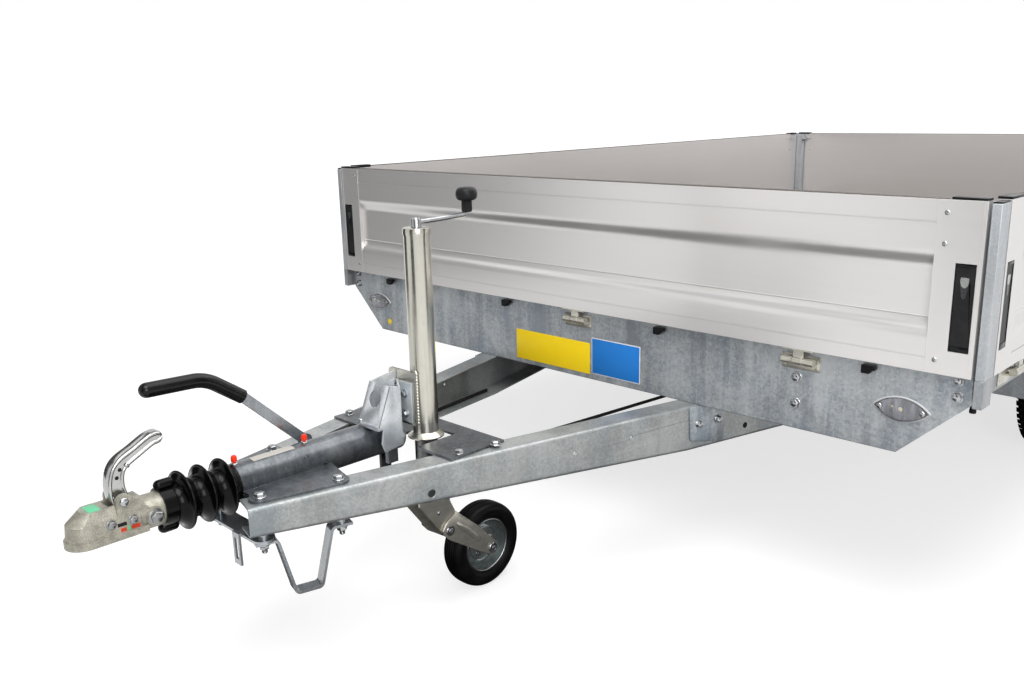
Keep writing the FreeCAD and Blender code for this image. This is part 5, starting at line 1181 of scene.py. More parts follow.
    def corner_caps(self) -> None:
        """Black caps on the corner posts and on the ends of the boards."""
        for side in DROPSIDES:
            half, shell = self.half(side), Shell()
            for sign in (-1, 1):
                self.strip(shell, side, (sign * (half - 0.068), sign * (half - 0.001)),
                           (-0.0002, -self.thickness - 0.0005),
                           (self.board_top - 0.004, self.board_top + 0.0052))
            solid_piece(f"{side}_end_caps", shell.bevel(0.001), BLACK_PLASTIC,
                        f"{side}_dropside")
        posts = Shell()
        for across, end, inward in self.corners():
            x, y = across * (self.half_width - 0.001), end + inward * 0.003
            posts.box((x, y, 0.9755), (x - across * 0.0165, y + inward * 0.046, 0.9795))
        solid_piece("post_caps", posts.bevel(0.0012), BLACK_PLASTIC)

    def hinge_plates(self) -> None:
        """Rounded back plates behind the knuckles, with two rivets each."""
        plates, rivets = Shell(), Spots()
        low, high, depth, half = 0.5765, 0.6115, 0.0022, 0.047
        middle, length = (self.front + self.rear) / 2, self.rear - self.front + 0.093
        places = [(x, end, 0, way) for x in self.end_hinges
                  for end, way in ((self.front + self.thickness, -1), (self.rear - self.thickness, 1))]
        places += [(way * (self.half_width - self.thickness), middle + share * length, way, 0)
                   for share in self.side_hinges for way in (-1, 1)]
        for x, y, out_x, out_y in places:
            face_x, face_y, wide, deep = x + out_x * depth, y + out_y * depth, abs(out_y), abs(out_x)
            plates.box((x - wide * half, y - deep * half, low),
                       (face_x + wide * half, face_y + deep * half, high))
            for offset in (-0.040, 0.040):
                rivets.add((face_x + wide * offset, face_y + deep * offset, low + 0.008),
                           (out_x, out_y, 0), 0.004)
        solid_piece("hinge_plates", plates.bevel(0.0007), HINGE_NICKEL)
        SETTER.set("hinge_plate_rivets", Fastener.RIVET, rivets, HINGE_NICKEL, "hinge_steel")

    def corner_clasps(self) -> None:
        """Zinc catches inside each corner, near the top of the posts."""
        shell, knob = Shell(), [(0, 0), (0, 0.007), (0.012, 0.007), (0.014, 0.005), (0.014, 0)]
        for across, end, inward in self.corners():
            x, y = across * 0.998, end + inward * 0.050
            shell.box((x - 0.004, y - 0.014, 0.938), (x + 0.004, y + 0.014, 0.962))
            shell.turn((x, y, 0.950), (-across, 0, 0), knob, 16)
        solid_piece("corner_clasps", shell.bevel(0.0008), BOLT_ZINC)

    def hooks(self) -> None:
        """Rope hooks below the boards, each with its open throat to one side."""
        shape = [(-0.0150, -0.0190), (0.0035, -0.0190), (0.0045, -0.0140), (0.0085, -0.0105),
                 (0.0150, -0.0100), (0.0150, 0.0), (-0.0150, 0.0)]
        ends, sides = (self.half_width, self.end_hooks), (self.rear - self.front, self.side_hooks)
        hooks, top = Shell(), self.board_bottom - 0.012
        for side in DROPSIDES:
            reach, shares = ends if side in ("front", "rear") else sides
            deep = tuple(-value * 0.014 for value in FACING[side])
            for distance in (sign * share * reach for share in shares for sign in (-1, 1)):
                hooks.prism([self.along(side, distance + u, -0.0130, top + z) for u, z in shape], deep)
        piece = solid_piece("moulded_hooks", hooks.bevel(0.0012), BLACK_PLASTIC)
        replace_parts(piece, "rope_hooks")

    def corner_stops(self) -> None:
        """Rubber stop under each corner pocket."""
        stops, profile = Shell(), [(0, 0), (0, 0.0060), (0.0195, 0.0063), (0.0240, 0.0072),
                                   (0.0285, 0.0066), (0.0285, 0)]
        for across, end, inward in self.corners():
            stops.turn((across * 1.0325, end + inward * 0.058, 0.5735), (0, 0, -1), profile, 20)
        solid_piece("corner_stops", stops, BLACK_PLASTIC)


@dataclass
class Panels:
    """Galvanised front and rear panels with their plates, bolts and lamps, and the side rails.

    Sizes are in metres. Bolt rows are heights, at the corners with the bolts' sizes, and on the rails the y.
    """

    face: float = -0.875
    rear_face: float = 2.248
    lamp_x: float = 0.901
    lamp_z: float = 0.533
    lamp_half: float = 0.059
    lamp_rise: float = 0.025
    hinge_bolt_x: float = 0.658
    hinge_bolt_rows: Pair = (0.5577, 0.4959)
    corner_bolt_x: float = 1.011
    corner_bolt_rows: tuple[Pair, Pair] = ((0.6165, 0.0088), (0.5823, 0.0098))
    rail_bolt_x: float = 1.039
    rail_bolt_z: float = 0.588
    rail_bolt_rows: tuple[float, ...] = (-0.294, 0.182, 0.700, 1.056, 1.400, 1.896)

    def build(self) -> None:
        """Dress the panels, plates and lamps."""
        DRESSER.dress(PANEL_ZINC, 0.0015, "front_panel", "rear_panel")
        DRESSER.dress(CHASSIS_ZINC, 0.0012, "side_rail_left", "side_rail_right")
        DRESSER.dress(LAMP_CLEAR, 0.0, "front_lamps")
        DRESSER.dress(LAMP_RED, 0.004, "tail_lamps")
        self.front_plates()
        self.bolts()
        self.lamps()
        self.rear_plate()

    def front_plates(self) -> None:
        """Blank yellow plate, blank blue plate with its pale border, and the yellow dot."""
        for name, corner, opposite, outs, finish in (
                ("yellow_plate", (-0.242, 0.4475), (0.040, 0.5355), (0.0009, -0.0002), PLATE_YELLOW),
                ("blue_plate_border", (0.0465, 0.4510), (0.2125, 0.5535), (0.0008, -0.0002), PLATE_WHITE),
                ("blue_plate", (0.0490, 0.4535), (0.2100, 0.5510), (0.0012, 0.0006), PLATE_BLUE)):
            plate = Shell().box(*((x, self.face - out, z) for (x, z), out in zip((corner, opposite), outs)))
            solid_piece(name, plate.bevel(0.0003), finish)
        profile = [(-0.001, 0), (-0.001, 0.0095), (0.0008, 0.0095), (0.0011, 0.008), (0.0011, 0)]
        dot = Shell().turn((-0.8516, self.face, 0.4664), FACING["front"], profile, 24)
        solid_piece("yellow_dot", dot, PLATE_YELLOW)

    def bolts(self) -> None:
        """Hex bolts of the front and rear panels and of the side rails."""
        spots = Spots()
        for height in self.hinge_bolt_rows:
            spots.both_sides((self.hinge_bolt_x, self.face, height), FACING["front"], 0.0105)
        for height, size in self.corner_bolt_rows:
            spots.both_sides((self.corner_bolt_x, self.face, height), FACING["front"], size)
            spots.both_sides((self.corner_bolt_x, self.rear_face, height), FACING["rear"], size)
        for y in self.rail_bolt_rows:
            spots.both_sides((self.rail_bolt_x, y, self.rail_bolt_z), FACING["left"], 0.0085)
        SETTER.set("panel_bolts", Fastener.HEX_BOLT, spots, BOLT_ZINC)

    def almond(self, x: float, share: float, steps: int = 22) -> list[Pair]:
        """Outline of an almond lamp in its face, as pairs of x and z.

        Args:
            x: The lamp's middle.
            share: The outline's size, as a share of the lamp's.
            steps: Corners of the upper half.

        Returns:
            The pairs.
        """
        half, rise = self.lamp_half * share, self.lamp_rise * share
        radius = (half * half + rise * rise) / (2 * rise)
        reach = math.asin(half / radius)
        upper = [(x + radius * math.sin(t), self.lamp_z + radius * math.cos(t) - radius + rise)
                 for t in (-reach + 2 * reach * i / steps for i in range(steps + 1))]
        return upper + [(2 * x - u, 2 * self.lamp_z - z) for u, z in upper[1:-1]]

    def lamps(self) -> None:
        """Reflector with painted highlights, a larger and a smaller bulb, two screws, a rim and a ring of
        painted shade inside it, for each front lamp.
        """
        out = FACING["front"]
        mirrors, bulbs, screws = Shell(), Spots(), Spots()
        for x in (-self.lamp_x, self.lamp_x):
            mirrors.prism([(u, self.face - 0.0006, z) for u, z in self.almond(x, 0.93)], (0.0, -0.0012, 0.0))
            bulbs.add((x, self.face - 0.0018, self.lamp_z), out, 0.0046)
            bulbs.add((x - 0.019, self.face - 0.0018, self.lamp_z + 0.004), out, 0.0026)
            for offset in (-0.0455, 0.0455):
                screws.add((x + offset, self.face - 0.0068, self.lamp_z), out, 0.0060)
        # The reflector's light stripes are painted highlights.
        solid_piece("lamp_reflectors", mirrors, LAMP_SILVER_PAINTED_GLINTS)
        SETTER.set("lamp_bulbs", Fastener.RIVET, bulbs, LAMP_AMBER, "lamp_clear")
        SETTER.set("lamp_screws", Fastener.SCREW, screws, BOLT_ZINC, "lamp_clear")
        # The second entry is a near-black ring just inside the rim: painted shade.
        for name, share, height, radius, finish in (("lamp_rims", 1.02, 0.0012, 0.0023, LAMP_BEZEL),
                                                    ("lamp_seals", 0.95, 0.0034, 0.0011, PAINTED_SHADE_BLACK)):
            rims = Shell()
            for x in (-self.lamp_x, self.lamp_x):
                path = [(u, self.face - height, z) for u, z in self.almond(x, share, 30)]
                rims.sweep(path + path[:1], radius, 8)
            solid_piece(name, rims, finish)

    def rear_plate(self) -> None:
        """Flat, blank number plate in a thin frame between the tail lamps."""
        y = self.rear_face
        holder = Shell().box((-0.262, y - 0.0002, 0.452), (0.262, y + 0.0010, 0.567)).bevel(0.0004)
        solid_piece("plate_holder", holder, BLACK_PLASTIC)
        blank = Shell().box((-0.255, y + 0.0006, 0.459), (0.255, y + 0.0014, 0.560)).bevel(0.0002)
        solid_piece("blank_plate", blank, PLATE_WHITE)
        screws = Spots()
        for x in (-0.20, 0.20):
            screws.add((x, y + 0.0012, 0.510), FACING["rear"], 0.0030)
        SETTER.set("plate_screws", Fastener.SCREW, screws, BOLT_ZINC)


@dataclass
class Drawbar:
    """V drawbar: two tapered beams, the overrun tube and what is bolted to them. Sizes are in metres."""

    beam_x: float = 0.389
    beam_y: float = -0.902
    beam_hole: Pair = (-0.717, 0.3480)
    beam_slope: float = 0.25605
    tube_z: float = 0.447
    tube_radius: float = 0.040
    plate_top: float = 0.440
    front_bolt: Pair = (0.0868, -1.934)
    rear_bolt: Pair = (0.1272, -1.776)
    rear_plate_rows: tuple[float, ...] = (-1.512, -1.422)
    cap_rows: tuple[float, ...] = (-1.9356, -1.7707)
    tie_rows: tuple[float, ...] = (-1.68, -1.44, -1.20, -0.98)

    def build(self) -> None:
        """Dress the drawbar's nodes and add bolts, caps, plates and ties."""
        DRESSER.dress(BEAM_ZINC, 0.001, "drawbar_beam_left", "drawbar_beam_right")
        DRESSER.dress(TUBE_ZINC, 0.001, "overrun_housing")
        DRESSER.dress(PRESSED_ZINC, 0.0008, "drawbar_skid", "tie_plate")
        DRESSER.dress(LEVER_ZINC, 0.0008, "hand_lever")
        DRESSER.dress(ROD_ZINC, 0.0, "draw_tube", "brake_rod")
        DRESSER.dress(CABLE_BLACK, 0.0, "wiring")
        DRESSER.dress(GRIP_BLACK, 0.0, "hand_grip")
        self.bolts()
        self.holder()
        self.tube_details()
        self.corner_brackets()
        self.cable_ties()

    def web(self, y: float) -> float:
        """How far from the middle a beam's outer face is at y."""
        return self.beam_x + (y - self.beam_y) * self.beam_slope

    def bolts(self) -> None:
        """Bolts of the join plates and rear plate, their nuts below the beams, and the tube's weld."""
        bolts, nuts, up, down = Spots(), Spots(), (0, 0, 1), (0, 0, -1)
        for x, y in (self.front_bolt, self.rear_bolt):
            bolts.both_sides((x, y, self.plate_top), up, 0.0108)
        for y in self.rear_plate_rows:
            x = self.web(y) - 0.030
            bolts.both_sides((x, y, self.plate_top), up, 0.0098)
            nuts.both_sides((x, y, 0.4300), down, 0.0098)
        for (x, y), left, right in ((self.front_bolt, 0.3418, 0.3478), (self.rear_bolt, 0.3396, 0.3616)):
            nuts.add((x, y, left), down, 0.0105).add((-x, y, right), down, 0.0105)
        for place, facing, size in (((0.0012, -1.6205, 0.4955), up, 0.0078),
                                    ((0.0334, -1.5200, 0.5435), FACING["front"], 0.0078),
                                    ((0.0332, -1.5200, 0.4954), FACING["front"], 0.0078),
                                    ((-0.0052, -1.5160, 0.5622), FACING["front"], 0.0074),
                                    ((-0.0560, -1.7360, 0.4700), FACING["right"], 0.0085)):
            bolts.add(place, facing, size)
        SETTER.set("drawbar_bolts", Fastener.HEX_BOLT, bolts, BOLT_ZINC, "bright_zinc")
        SETTER.set("drawbar_nuts", Fastener.NUT, nuts, BOLT_ZINC, "bright_zinc")
        beads, sway, rise = Spots(), 0.0010, 0.0036
        for step in range(34):
            beads.add((0.0692 + sway * (-1) ** step, -1.5138, 0.4785 + step * rise), (0.6, -0.8, 0), 0.0050)
        SETTER.set("tube_weld", Fastener.BEAD, beads, TUBE_SATIN, "bright_zinc")

    def holder(self) -> None:
        """Folded lever holder: leaning notched face, side walls and the flange to the jockey wheel."""
        sheet, left, right = 0.004, -0.003, 0.069
        foot, rise = Vector((0.0, -1.626, 0.495)), Vector((0.0, 0.036, 0.088))
        middle, radius, mouth, height = 0.0315, 0.0195, 0.0122, 0.63

        def spot(x: float, share: float) -> Point:
            """A point on the leaning face, by its share of the face's height."""
            return (x, foot.y + rise.y * share, foot.z + rise.z * share)

        start = math.acos(mouth / radius)
        turns = [start - (math.pi + 2 * start) * step / 18 for step in range(19)]
        arc = [spot(middle + radius * math.cos(t), height + radius * math.sin(t) / rise.length)
               for t in turns]
        face = [spot(left, 1), spot(left, 0), spot(right, 0), spot(right, 1), spot(middle + mouth, 1),
                *arc, spot(middle - mouth, 1)]
        shell = Shell().prism(face, (0.0, rise.z / rise.length * sheet, -rise.y / rise.length * sheet))
        edge = [(-1.6255, 0.4960), (-1.5900, 0.5830)]
        near = [*edge, (-1.5587, 0.5765), (-1.5587, 0.4740), (-1.5530, 0.4590), (-1.5575, 0.4405),
                (-1.6090, 0.4335), (-1.6175, 0.4570), (-1.6120, 0.4870)]
        far = [*edge, (-1.5165, 0.5930), (-1.5165, 0.4800), (-1.6000, 0.4800)]
        for x, wall in ((right - sheet, near), (left, far)):
            shell.prism([(x, y, z) for y, z in wall], (sheet, 0.0, 0.0))
        shell.prism([(right - sheet, -1.5612, 0.476), (right, -1.5587, 0.476), (0.0100, -1.5196, 0.476),
                     (0.0030, -1.5196, 0.476)], (0.0, 0.0, 0.098))
        shell.box((0.0035, -1.5200, 0.4760), (0.0565, -1.5160, 0.5710))
        shell.box((left, -1.6255, 0.4868), (right - 0.0005, -1.6020, 0.4985))
        piece = solid_piece("pressed_holder", shell.bevel(0.0010), HOLDER_ZINC)
        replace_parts(piece, "notch_holder")

    def tube_details(self) -> None:
        """Red grease caps, the blank strip, and a near-black disc of painted shade for the hole on the
        overrun tube.
        """
        top, caps, collars = self.tube_z + self.tube_radius, Spots(), Shell()
        for y in self.cap_rows:
            caps.add((0.0, y, top), (0, 0, 1), 0.0064)
            collars.turn((0.0, y, top - 0.001), (0, 0, 1),
                         [(0, 0), (0, 0.0078), (0.0028, 0.0078), (0.0036, 0.0068), (0.0036, 0)], 20)
        SETTER.set("grease_caps", Fastener.GREASE_CAP, caps, CAP_RED, "bright_zinc")
        solid_piece("grease_seats", collars, BOLT_ZINC)
        first, last = math.asin(-0.008 / self.tube_radius), math.asin(0.013 / self.tube_radius)
        angles = [first + (last - first) * step / 10 for step in range(11)]
        outer, inner = ([(math.sin(t) * radius, -1.900, self.tube_z + math.cos(t) * radius) for t in angles]
                        for radius in (self.tube_radius + 0.0006, self.tube_radius - 0.0004))
        strip = Shell().prism(outer + inner[::-1], (0.0, 0.098, 0.0))
        solid_piece("blank_strip", strip, PLATE_GREY)
        # The hole is a shallow near-black disc: painted shade.
        hole = Shell().turn((0.0383, -1.747, 0.4380), (0.974, 0, -0.225),
                            [(0, 0), (0, 0.0056), (0.0010, 0.0056), (0.0010, 0.0046), (0.0007, 0)], 20)
        solid_piece("tube_hole", hole, PAINTED_SHADE_BLACK)

    def corner_brackets(self) -> None:
        """Plates on the beams' webs under the front panel, with two bolts and a hole each; the hole is a flat
        near-black disc, painted shade.
        """
        plates, bolts, holes = Shell(), Spots(), Spots()
        length, thick = math.hypot(1.0, self.beam_slope), 0.005
        out_x, out_y = 1.0 / length, -self.beam_slope / length
        corners = [(-0.9055, 0.4325), (-0.8760, 0.4325), (-0.7950, 0.4245), (-0.7920, 0.4200),
                   (-0.7940, 0.3290), (-0.7990, 0.3240), (-0.8980, 0.3425), (-0.9027, 0.3480)]
        for side in (1, -1):
            facing = (side * out_x, out_y, 0)
            plates.prism([(side * self.web(y), y, z) for y, z in corners],
                         (side * out_x * thick, out_y * thick, 0.0))
            for y, z in ((-0.8773, 0.3855), (-0.8141, 0.3861)):
                bolts.add((side * (self.web(y) + out_x * thick), y + out_y * thick, z), facing, 0.0092)
            y, z = self.beam_hole
            holes.add((side * (self.web(y) + 0.0002), y, z), facing, 0.008)
        solid_piece("corner_brackets", plates.bevel(0.0008), PANEL_ZINC)
        SETTER.set("bracket_bolts", Fastener.HEX_BOLT, bolts, BOLT_ZINC, "bright_zinc")
        # Flat near-black discs: painted shade for the holes in the beams.
        SETTER.set("beam_holes", Fastener.RIVET, holes, PAINTED_SHADE_BLACK, stretch=(1, 1, 0.06))

    def cable_ties(self) -> None:
        """Ties round the wiring on the right beam."""
        ties, profile = Shell(), [(-0.0022, 0.0050), (-0.0022, 0.0066), (0.0022, 0.0066), (0.0022, 0.0050)]
        low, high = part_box("wiring")
        for y in self.tie_rows:
            share = (y - low.y) / (high.y - low.y)
            centre = (high.x + (low.x - high.x) * share, y, high.z + (low.z - high.z) * share)
            ties.ring(centre, (-0.2481, 0.9687, -0.03), profile, 24)
        solid_piece("cable_ties", ties, BLACK_PLASTIC)


@dataclass
class Coupling:
    """Cast ball coupling with its handle and the bellows behind it. Sizes are in metres."""

    cheek: float = 0.030
    boss: float = 0.036
    handle_side: float = 0.015

    def build(self) -> None:
        """Dress the head and bellows, make the handle and add bolts, pins and blank marks."""
        DRESSER.dress(CAST_ZINC, 0.0018, "coupling_head")
        DRESSER.dress(BELLOWS_BLACK, 0.0, "bellows")
        self.handle()
        out, bolts, holes = FACING["left"], Spots(), Spots()
        for x, y, z, size in ((self.boss, -2.120, 0.447, 0.0126), (self.cheek, -2.161, 0.453, 0.0078),
                              (self.cheek, -2.201, 0.455, 0.0078)):
            bolts.both_sides((x, y, z), out, size)
        SETTER.set("coupling_bolts", Fastener.HEX_BOLT, bolts, COUPLING_BOLT, "bright_zinc",
                   stretch=(1, 1, 0.8))
        pins = Spots().both_sides((self.cheek, -2.173, 0.491), out, 0.0086)
        SETTER.set("handle_pin", Fastener.RIVET, pins, BOLT_ZINC, "bright_zinc")
        # Two flat near-black discs on each side: painted shade for the holes in the handle.
        for y, z in ((-2.1665, 0.5470), (-2.1735, 0.5330)):
            holes.both_sides((self.handle_side - 0.0030, y, z), out, 0.0038)
        SETTER.set("handle_holes", Fastener.RIVET, holes, PAINTED_SHADE_BLACK, "bright_zinc", stretch=(1, 1, 0.08))
        screw = Spots().both_sides((self.handle_side - 0.0008, -2.1530, 0.5520), out, 0.0046)
        SETTER.set("handle_screw", Fastener.SCREW, screw, BOLT_ZINC, "bright_zinc")
        self.marks()

    def marks(self) -> None:
        """Small blank marks on the head's cheeks, the blank sticker on its nose and a near-black bar of
        painted shade for the slot through it.
        """
        marks = ((-2.1850, -2.1745, PLATE_RED), (-2.1740, -2.1665, PLATE_GREEN),
                 (-2.1660, -2.1490, PLATE_RED))
        for i, (first, last, finish) in enumerate(marks):
            mark = Shell()
            for x in (-0.0305, 0.0297):
                mark.box((x, first, 0.4337), (x + 0.0008, last, 0.4430))
            solid_piece(f"blank_mark_{i}", mark, finish)
        # The slot is a thin near-black block: painted shade.
        for name, corner, opposite, finish in (
                ("blank_sticker", (-0.017, -2.2330, 0.4856), (0.0185, -2.2110, 0.4864), PLATE_GREEN),
                ("cheek_slot", (-0.0304, -2.190, 0.4465), (0.0304, -2.173, 0.4535), PAINTED_SHADE_BLACK)):
            solid_piece(name, Shell().box(corner, opposite).bevel(0.0003), finish)

    def handle(self) -> None:
        """Pressed handle with rolled edges, which narrows from its eye to a rounded tip."""
        spine = [Vector((0.0, y, z)) for y, z in ((-2.1730, 0.4910), (-2.1762, 0.5160), (-2.1720, 0.5410),
                                                  (-2.1600, 0.5570), (-2.1330, 0.5715), (-2.1040, 0.5865),
                                                  (-2.0905, 0.5890))]
        path = []
        for i in range(len(spine) - 1):
            a, b, c, d = (spine[min(max(i + k, 0), len(spine) - 1)] for k in (-1, 0, 1, 2))
            for step in range(5):
                t = step / 5
                path.append(0.5 * (2 * b + (c - a) * t + (2 * a - 5 * b + 4 * c - d) * t * t
                                   + (3 * b - a - 3 * c + d) * t ** 3))
        path.append(spine[-1])
        eye, tip, narrowing, rings = 0.0172, 0.0122, 0.6 * len(path), []
        stations = [(point, eye - (eye - tip) * min(1.0, i / narrowing), 1.0) for i, point in enumerate(path)]
        head, tail = (path[0] - path[1]).normalized(), (path[-1] - path[-2]).normalized()
        for turn in (0.45, 0.85, 1.2, 1.45):
            sine, cosine = math.sin(turn), math.cos(turn)
            stations.append((path[-1] + tail * tip * sine, tip * cosine, math.cos(turn * 0.7)))
            stations.insert(0, (path[0] + head * eye * sine, eye * cosine, 1.0))
        for i, (point, deep, share) in enumerate(stations):
            first, last = stations[max(i - 1, 0)][0], stations[min(i + 1, len(stations) - 1)][0]
            along = (last - first).normalized()
            across = Vector((0.0, -along.z, along.y))
            wide, roll = self.handle_side * share, min(deep, 0.0085)
            quarter = [(wide - 0.0030 * share, 0.0), (wide - 0.0030 * share, deep - roll * 0.95),
                       (wide - 0.0006, deep - roll * 0.72), (wide, deep - roll * 0.50),
                       (wide - 0.0007, deep - roll * 0.26), (wide - 0.0028, deep - roll * 0.07),
                       (wide - 0.0058 * share, deep), (0.0, deep + 0.0002)]
            half = quarter + [(-x, n) for x, n in quarter[-2::-1]]
            ring = half + [(x, -n) for x, n in half[-2:0:-1]]
            rings.append([point + across * n + Vector((x, 0.0, 0.0)) for x, n in ring])
        shell = Shell().loft(rings)
        shell.turn((-0.022, -2.173, 0.491), (1, 0, 0), [(0, 0), (0, 0.006), (0.044, 0.006), (0.044, 0)], 20)
        piece = solid_piece("pressed_handle", shell, HANDLE_ZINC)
        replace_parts(piece, "coupling_handle")


@dataclass
class JockeyWheel:
    """Telescopic jockey wheel with its crank, fork, rim and solid rubber tyre. Sizes are in metres."""

    x: float = 0.057
    axis_y: float = -1.320
    axis_z: float = 0.108
    tube_y: float = -1.482
    tube_top: float = 0.917
    outer: float = 0.108
    inner: float = 0.0683
    half: float = 0.030
    nut_circle: float = 0.029

    def build(self) -> None:
        """Dress the nodes, add the trim and make the tyre."""
        DRESSER.dress(TUBE_SATIN, 0.0006, "jockey_outer_tube")
        DRESSER.dress(INNER_ZINC, 0.0006, "jockey_inner_tube")
        DRESSER.dress(RIM_ZINC, 0.0006, "jockey_rim")
        DRESSER.dress(FORK_ZINC, 0.0012, "jockey_fork")
        self.top_cap()
        self.fork_trim()
        self.rim_nuts()
        self.crank()
        self.tyre()

    def top_cap(self) -> None:
        """Pressed cap on the tube's top."""
        cap = Shell().ring((self.x, self.tube_y, self.tube_top), (0, 0, 1),
                           [(-0.012, 0.0302), (-0.012, 0.0315), (-0.002, 0.0318), (0.0026, 0.0305),
                            (0.0042, 0.0270), (0.0042, 0.0130), (0.0002, 0.0130), (0.0002, 0.0290)], 48)
        solid_piece("tube_cap", cap, TUBE_SATIN)

    def fork_trim(self) -> None:
        """Rounded cheeks with a long rib over the fork's legs, their pivot rings, rivets and axle ends."""
        outline = [(-1.4765, 0.1975), (-1.4778, 0.2065), (-1.4690, 0.2200), (-1.4400, 0.2410),
                   (-1.4310, 0.2418), (-1.4165, 0.2280), (-1.3630, 0.1805), (-1.3300, 0.1445),
                   (-1.3110, 0.1262), (-1.3040, 0.1178), (-1.3012, 0.1080), (-1.3067, 0.0947),
                   (-1.3200, 0.0892), (-1.3333, 0.0947), (-1.3560, 0.1085), (-1.3838, 0.1270),
                   (-1.4160, 0.1488), (-1.4600, 0.1785)]
        pivot = [(0, 0), (0, 0.0128), (0.0022, 0.0128), (0.0032, 0.0118), (0.0032, 0.0092), (0.0018, 0.0086),
                 (0.0018, 0.0078), (0.0042, 0.0072), (0.0050, 0.0060), (0.0050, 0.0042), (0.0028, 0.0036),
                 (0.0028, 0)]
        axle_end = [(0, 0), (0, 0.0136), (0.0030, 0.0136), (0.0042, 0.0126), (0.0042, 0.0098),
                    (0.0010, 0.0088), (0.0010, 0.0062), (0.0048, 0.0056), (0.0056, 0.0044), (0.0056, 0)]
        first, last = Vector((0.0, -1.4284, 0.2094)), Vector((0.0, -1.3655, 0.1475))
        along = (last - first).normalized()
        across = Vector((0.0, -along.z, along.y))
        cheeks, rivets, rings = Shell(), Spots(), Shell()
        for way in (-1, 1):
            inner, face = self.x + way * 0.0352, self.x + way * 0.0412
            cheeks.prism([(inner, y, z) for y, z in outline], (face - inner, 0.0, 0.0))
            rivets.add((self.x + way * 0.0355, -1.4840, 0.254), (way, 0, 0), 0.0052)
            for y, z, profile in ((-1.4555, 0.2010, pivot), (self.axis_y, self.axis_z, axle_end)):
                rings.turn((face - way * 0.0004, y, z), (way, 0, 0), profile, 32)
        cheeks.bevel(0.0022, 3)
        middle, reach = (first + last) / 2, (last - first).length / 2 + 0.008
        half_turn = [math.pi * i / 12 for i in range(13)]
        for way in (-1, 1):
            sections = []
            for step in range(13):
                share = -1.0 + 2.0 * step / 12
                swell = math.sqrt(max(0.0, 1.0 - abs(share) ** 6))
                wide, high = 0.0084 * max(0.25, swell), 0.0080 * max(0.03, swell)
                centre = middle + along * reach * share
                centre.x = self.x + way * 0.0405
                sections.append([centre + across * (wide * math.cos(t))
                                 + Vector((way * high * math.sin(t), 0, 0)) for t in half_turn])
            cheeks.loft(sections)
        solid_piece("fork_cheeks", cheeks, FORK_ZINC, JOCKEY_CASTER)
        solid_piece("fork_rings", rings, BOLT_ZINC, JOCKEY_CASTER)
        SETTER.set("fork_rivets", Fastener.RIVET, rivets, BOLT_ZINC, "bright_zinc", JOCKEY_CASTER)

    def rim_nuts(self) -> None:
        """Five small nuts on each side of the rim's disc, and its rolled lips."""
        nuts, lips = Spots(), Shell()
        for step in range(5):
            angle = math.radians(18 + 72 * step)
            y = self.axis_y + self.nut_circle * math.cos(angle)
            z = self.axis_z + self.nut_circle * math.sin(angle)
            for way in (1, -1):
                nuts.add((self.x + way * 0.003, y, z), (way, 0, 0), 0.0050)
        SETTER.set("rim_nuts", Fastener.HEX_BOLT, nuts, BOLT_ZINC, "rim_steel", JOCKEY_WHEEL)
        for way in (-1, 1):
            for along, radius, thick, sides, steps in ((0.0212, 0.0664, 0.0030, 10, 72),
                                                       (0.0052, 0.0430, 0.0012, 8, 64)):
                angles = (math.tau * step / sides for step in range(sides))
                section = [(along + thick * math.cos(t), radius + thick * math.sin(t)) for t in angles]
                lips.ring((self.x, self.axis_y, self.axis_z), (way, 0, 0), section, steps)
        solid_piece("rim_lips", lips, BOLT_ZINC, JOCKEY_WHEEL)

    def crank(self) -> None:
        """Crank with its hub and bent bar, and the round knob on its post."""
        up, arm_z = (0, 0, 1), self.tube_top + 0.0145
        end = self.tube_y + 0.1515
        hub = [(0, 0), (0, 0.0112), (0.0195, 0.0112), (0.0235, 0.0090), (0.0235, 0.0060), (0.0220, 0.0052),
               (0.0220, 0)]
        bends = ((self.tube_y, 0.0), (self.tube_y + 0.060, 0.0006), (end - 0.016, 0.0036),
                 (end - 0.007, 0.0052), (end - 0.0015, 0.0105), (end, 0.018), (end, 0.046))
        bar = Shell().turn((self.x, self.tube_y, self.tube_top), up, hub, 28)
        bar.sweep([(self.x, y, arm_z + rise) for y, rise in bends], 0.0056, 16)
        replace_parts(solid_piece("bent_crank", bar, BOLT_ZINC), "jockey_crank")
        low = arm_z + 0.0085
        grip = [(0, 0), (0, 0.0098), (0.0020, 0.0114), (0.0245, 0.0118), (0.0262, 0.0140),
                (0.0275, 0.0195), (0.0305, 0.0232), (0.0360, 0.0250), (0.0430, 0.0252), (0.0495, 0.0238),
                (0.0540, 0.0205), (0.0565, 0.0155), (0.0572, 0.0095), (0.0566, 0.0040), (0.0565, 0)]
        knob, neck, ribs = Shell().turn((self.x, end, low), up, grip, 44), 0.0114, 10
        for turn in (math.tau * step / ribs for step in range(ribs)):
            knob.turn((self.x + neck * math.cos(turn), end + neck * math.sin(turn), low + 0.002), up,
                      [(0, 0), (0, 0.0010), (0.0225, 0.0010), (0.0225, 0)], 8)
        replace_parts(solid_piece("round_knob", knob, LATCH_BLACK), "crank_knob")

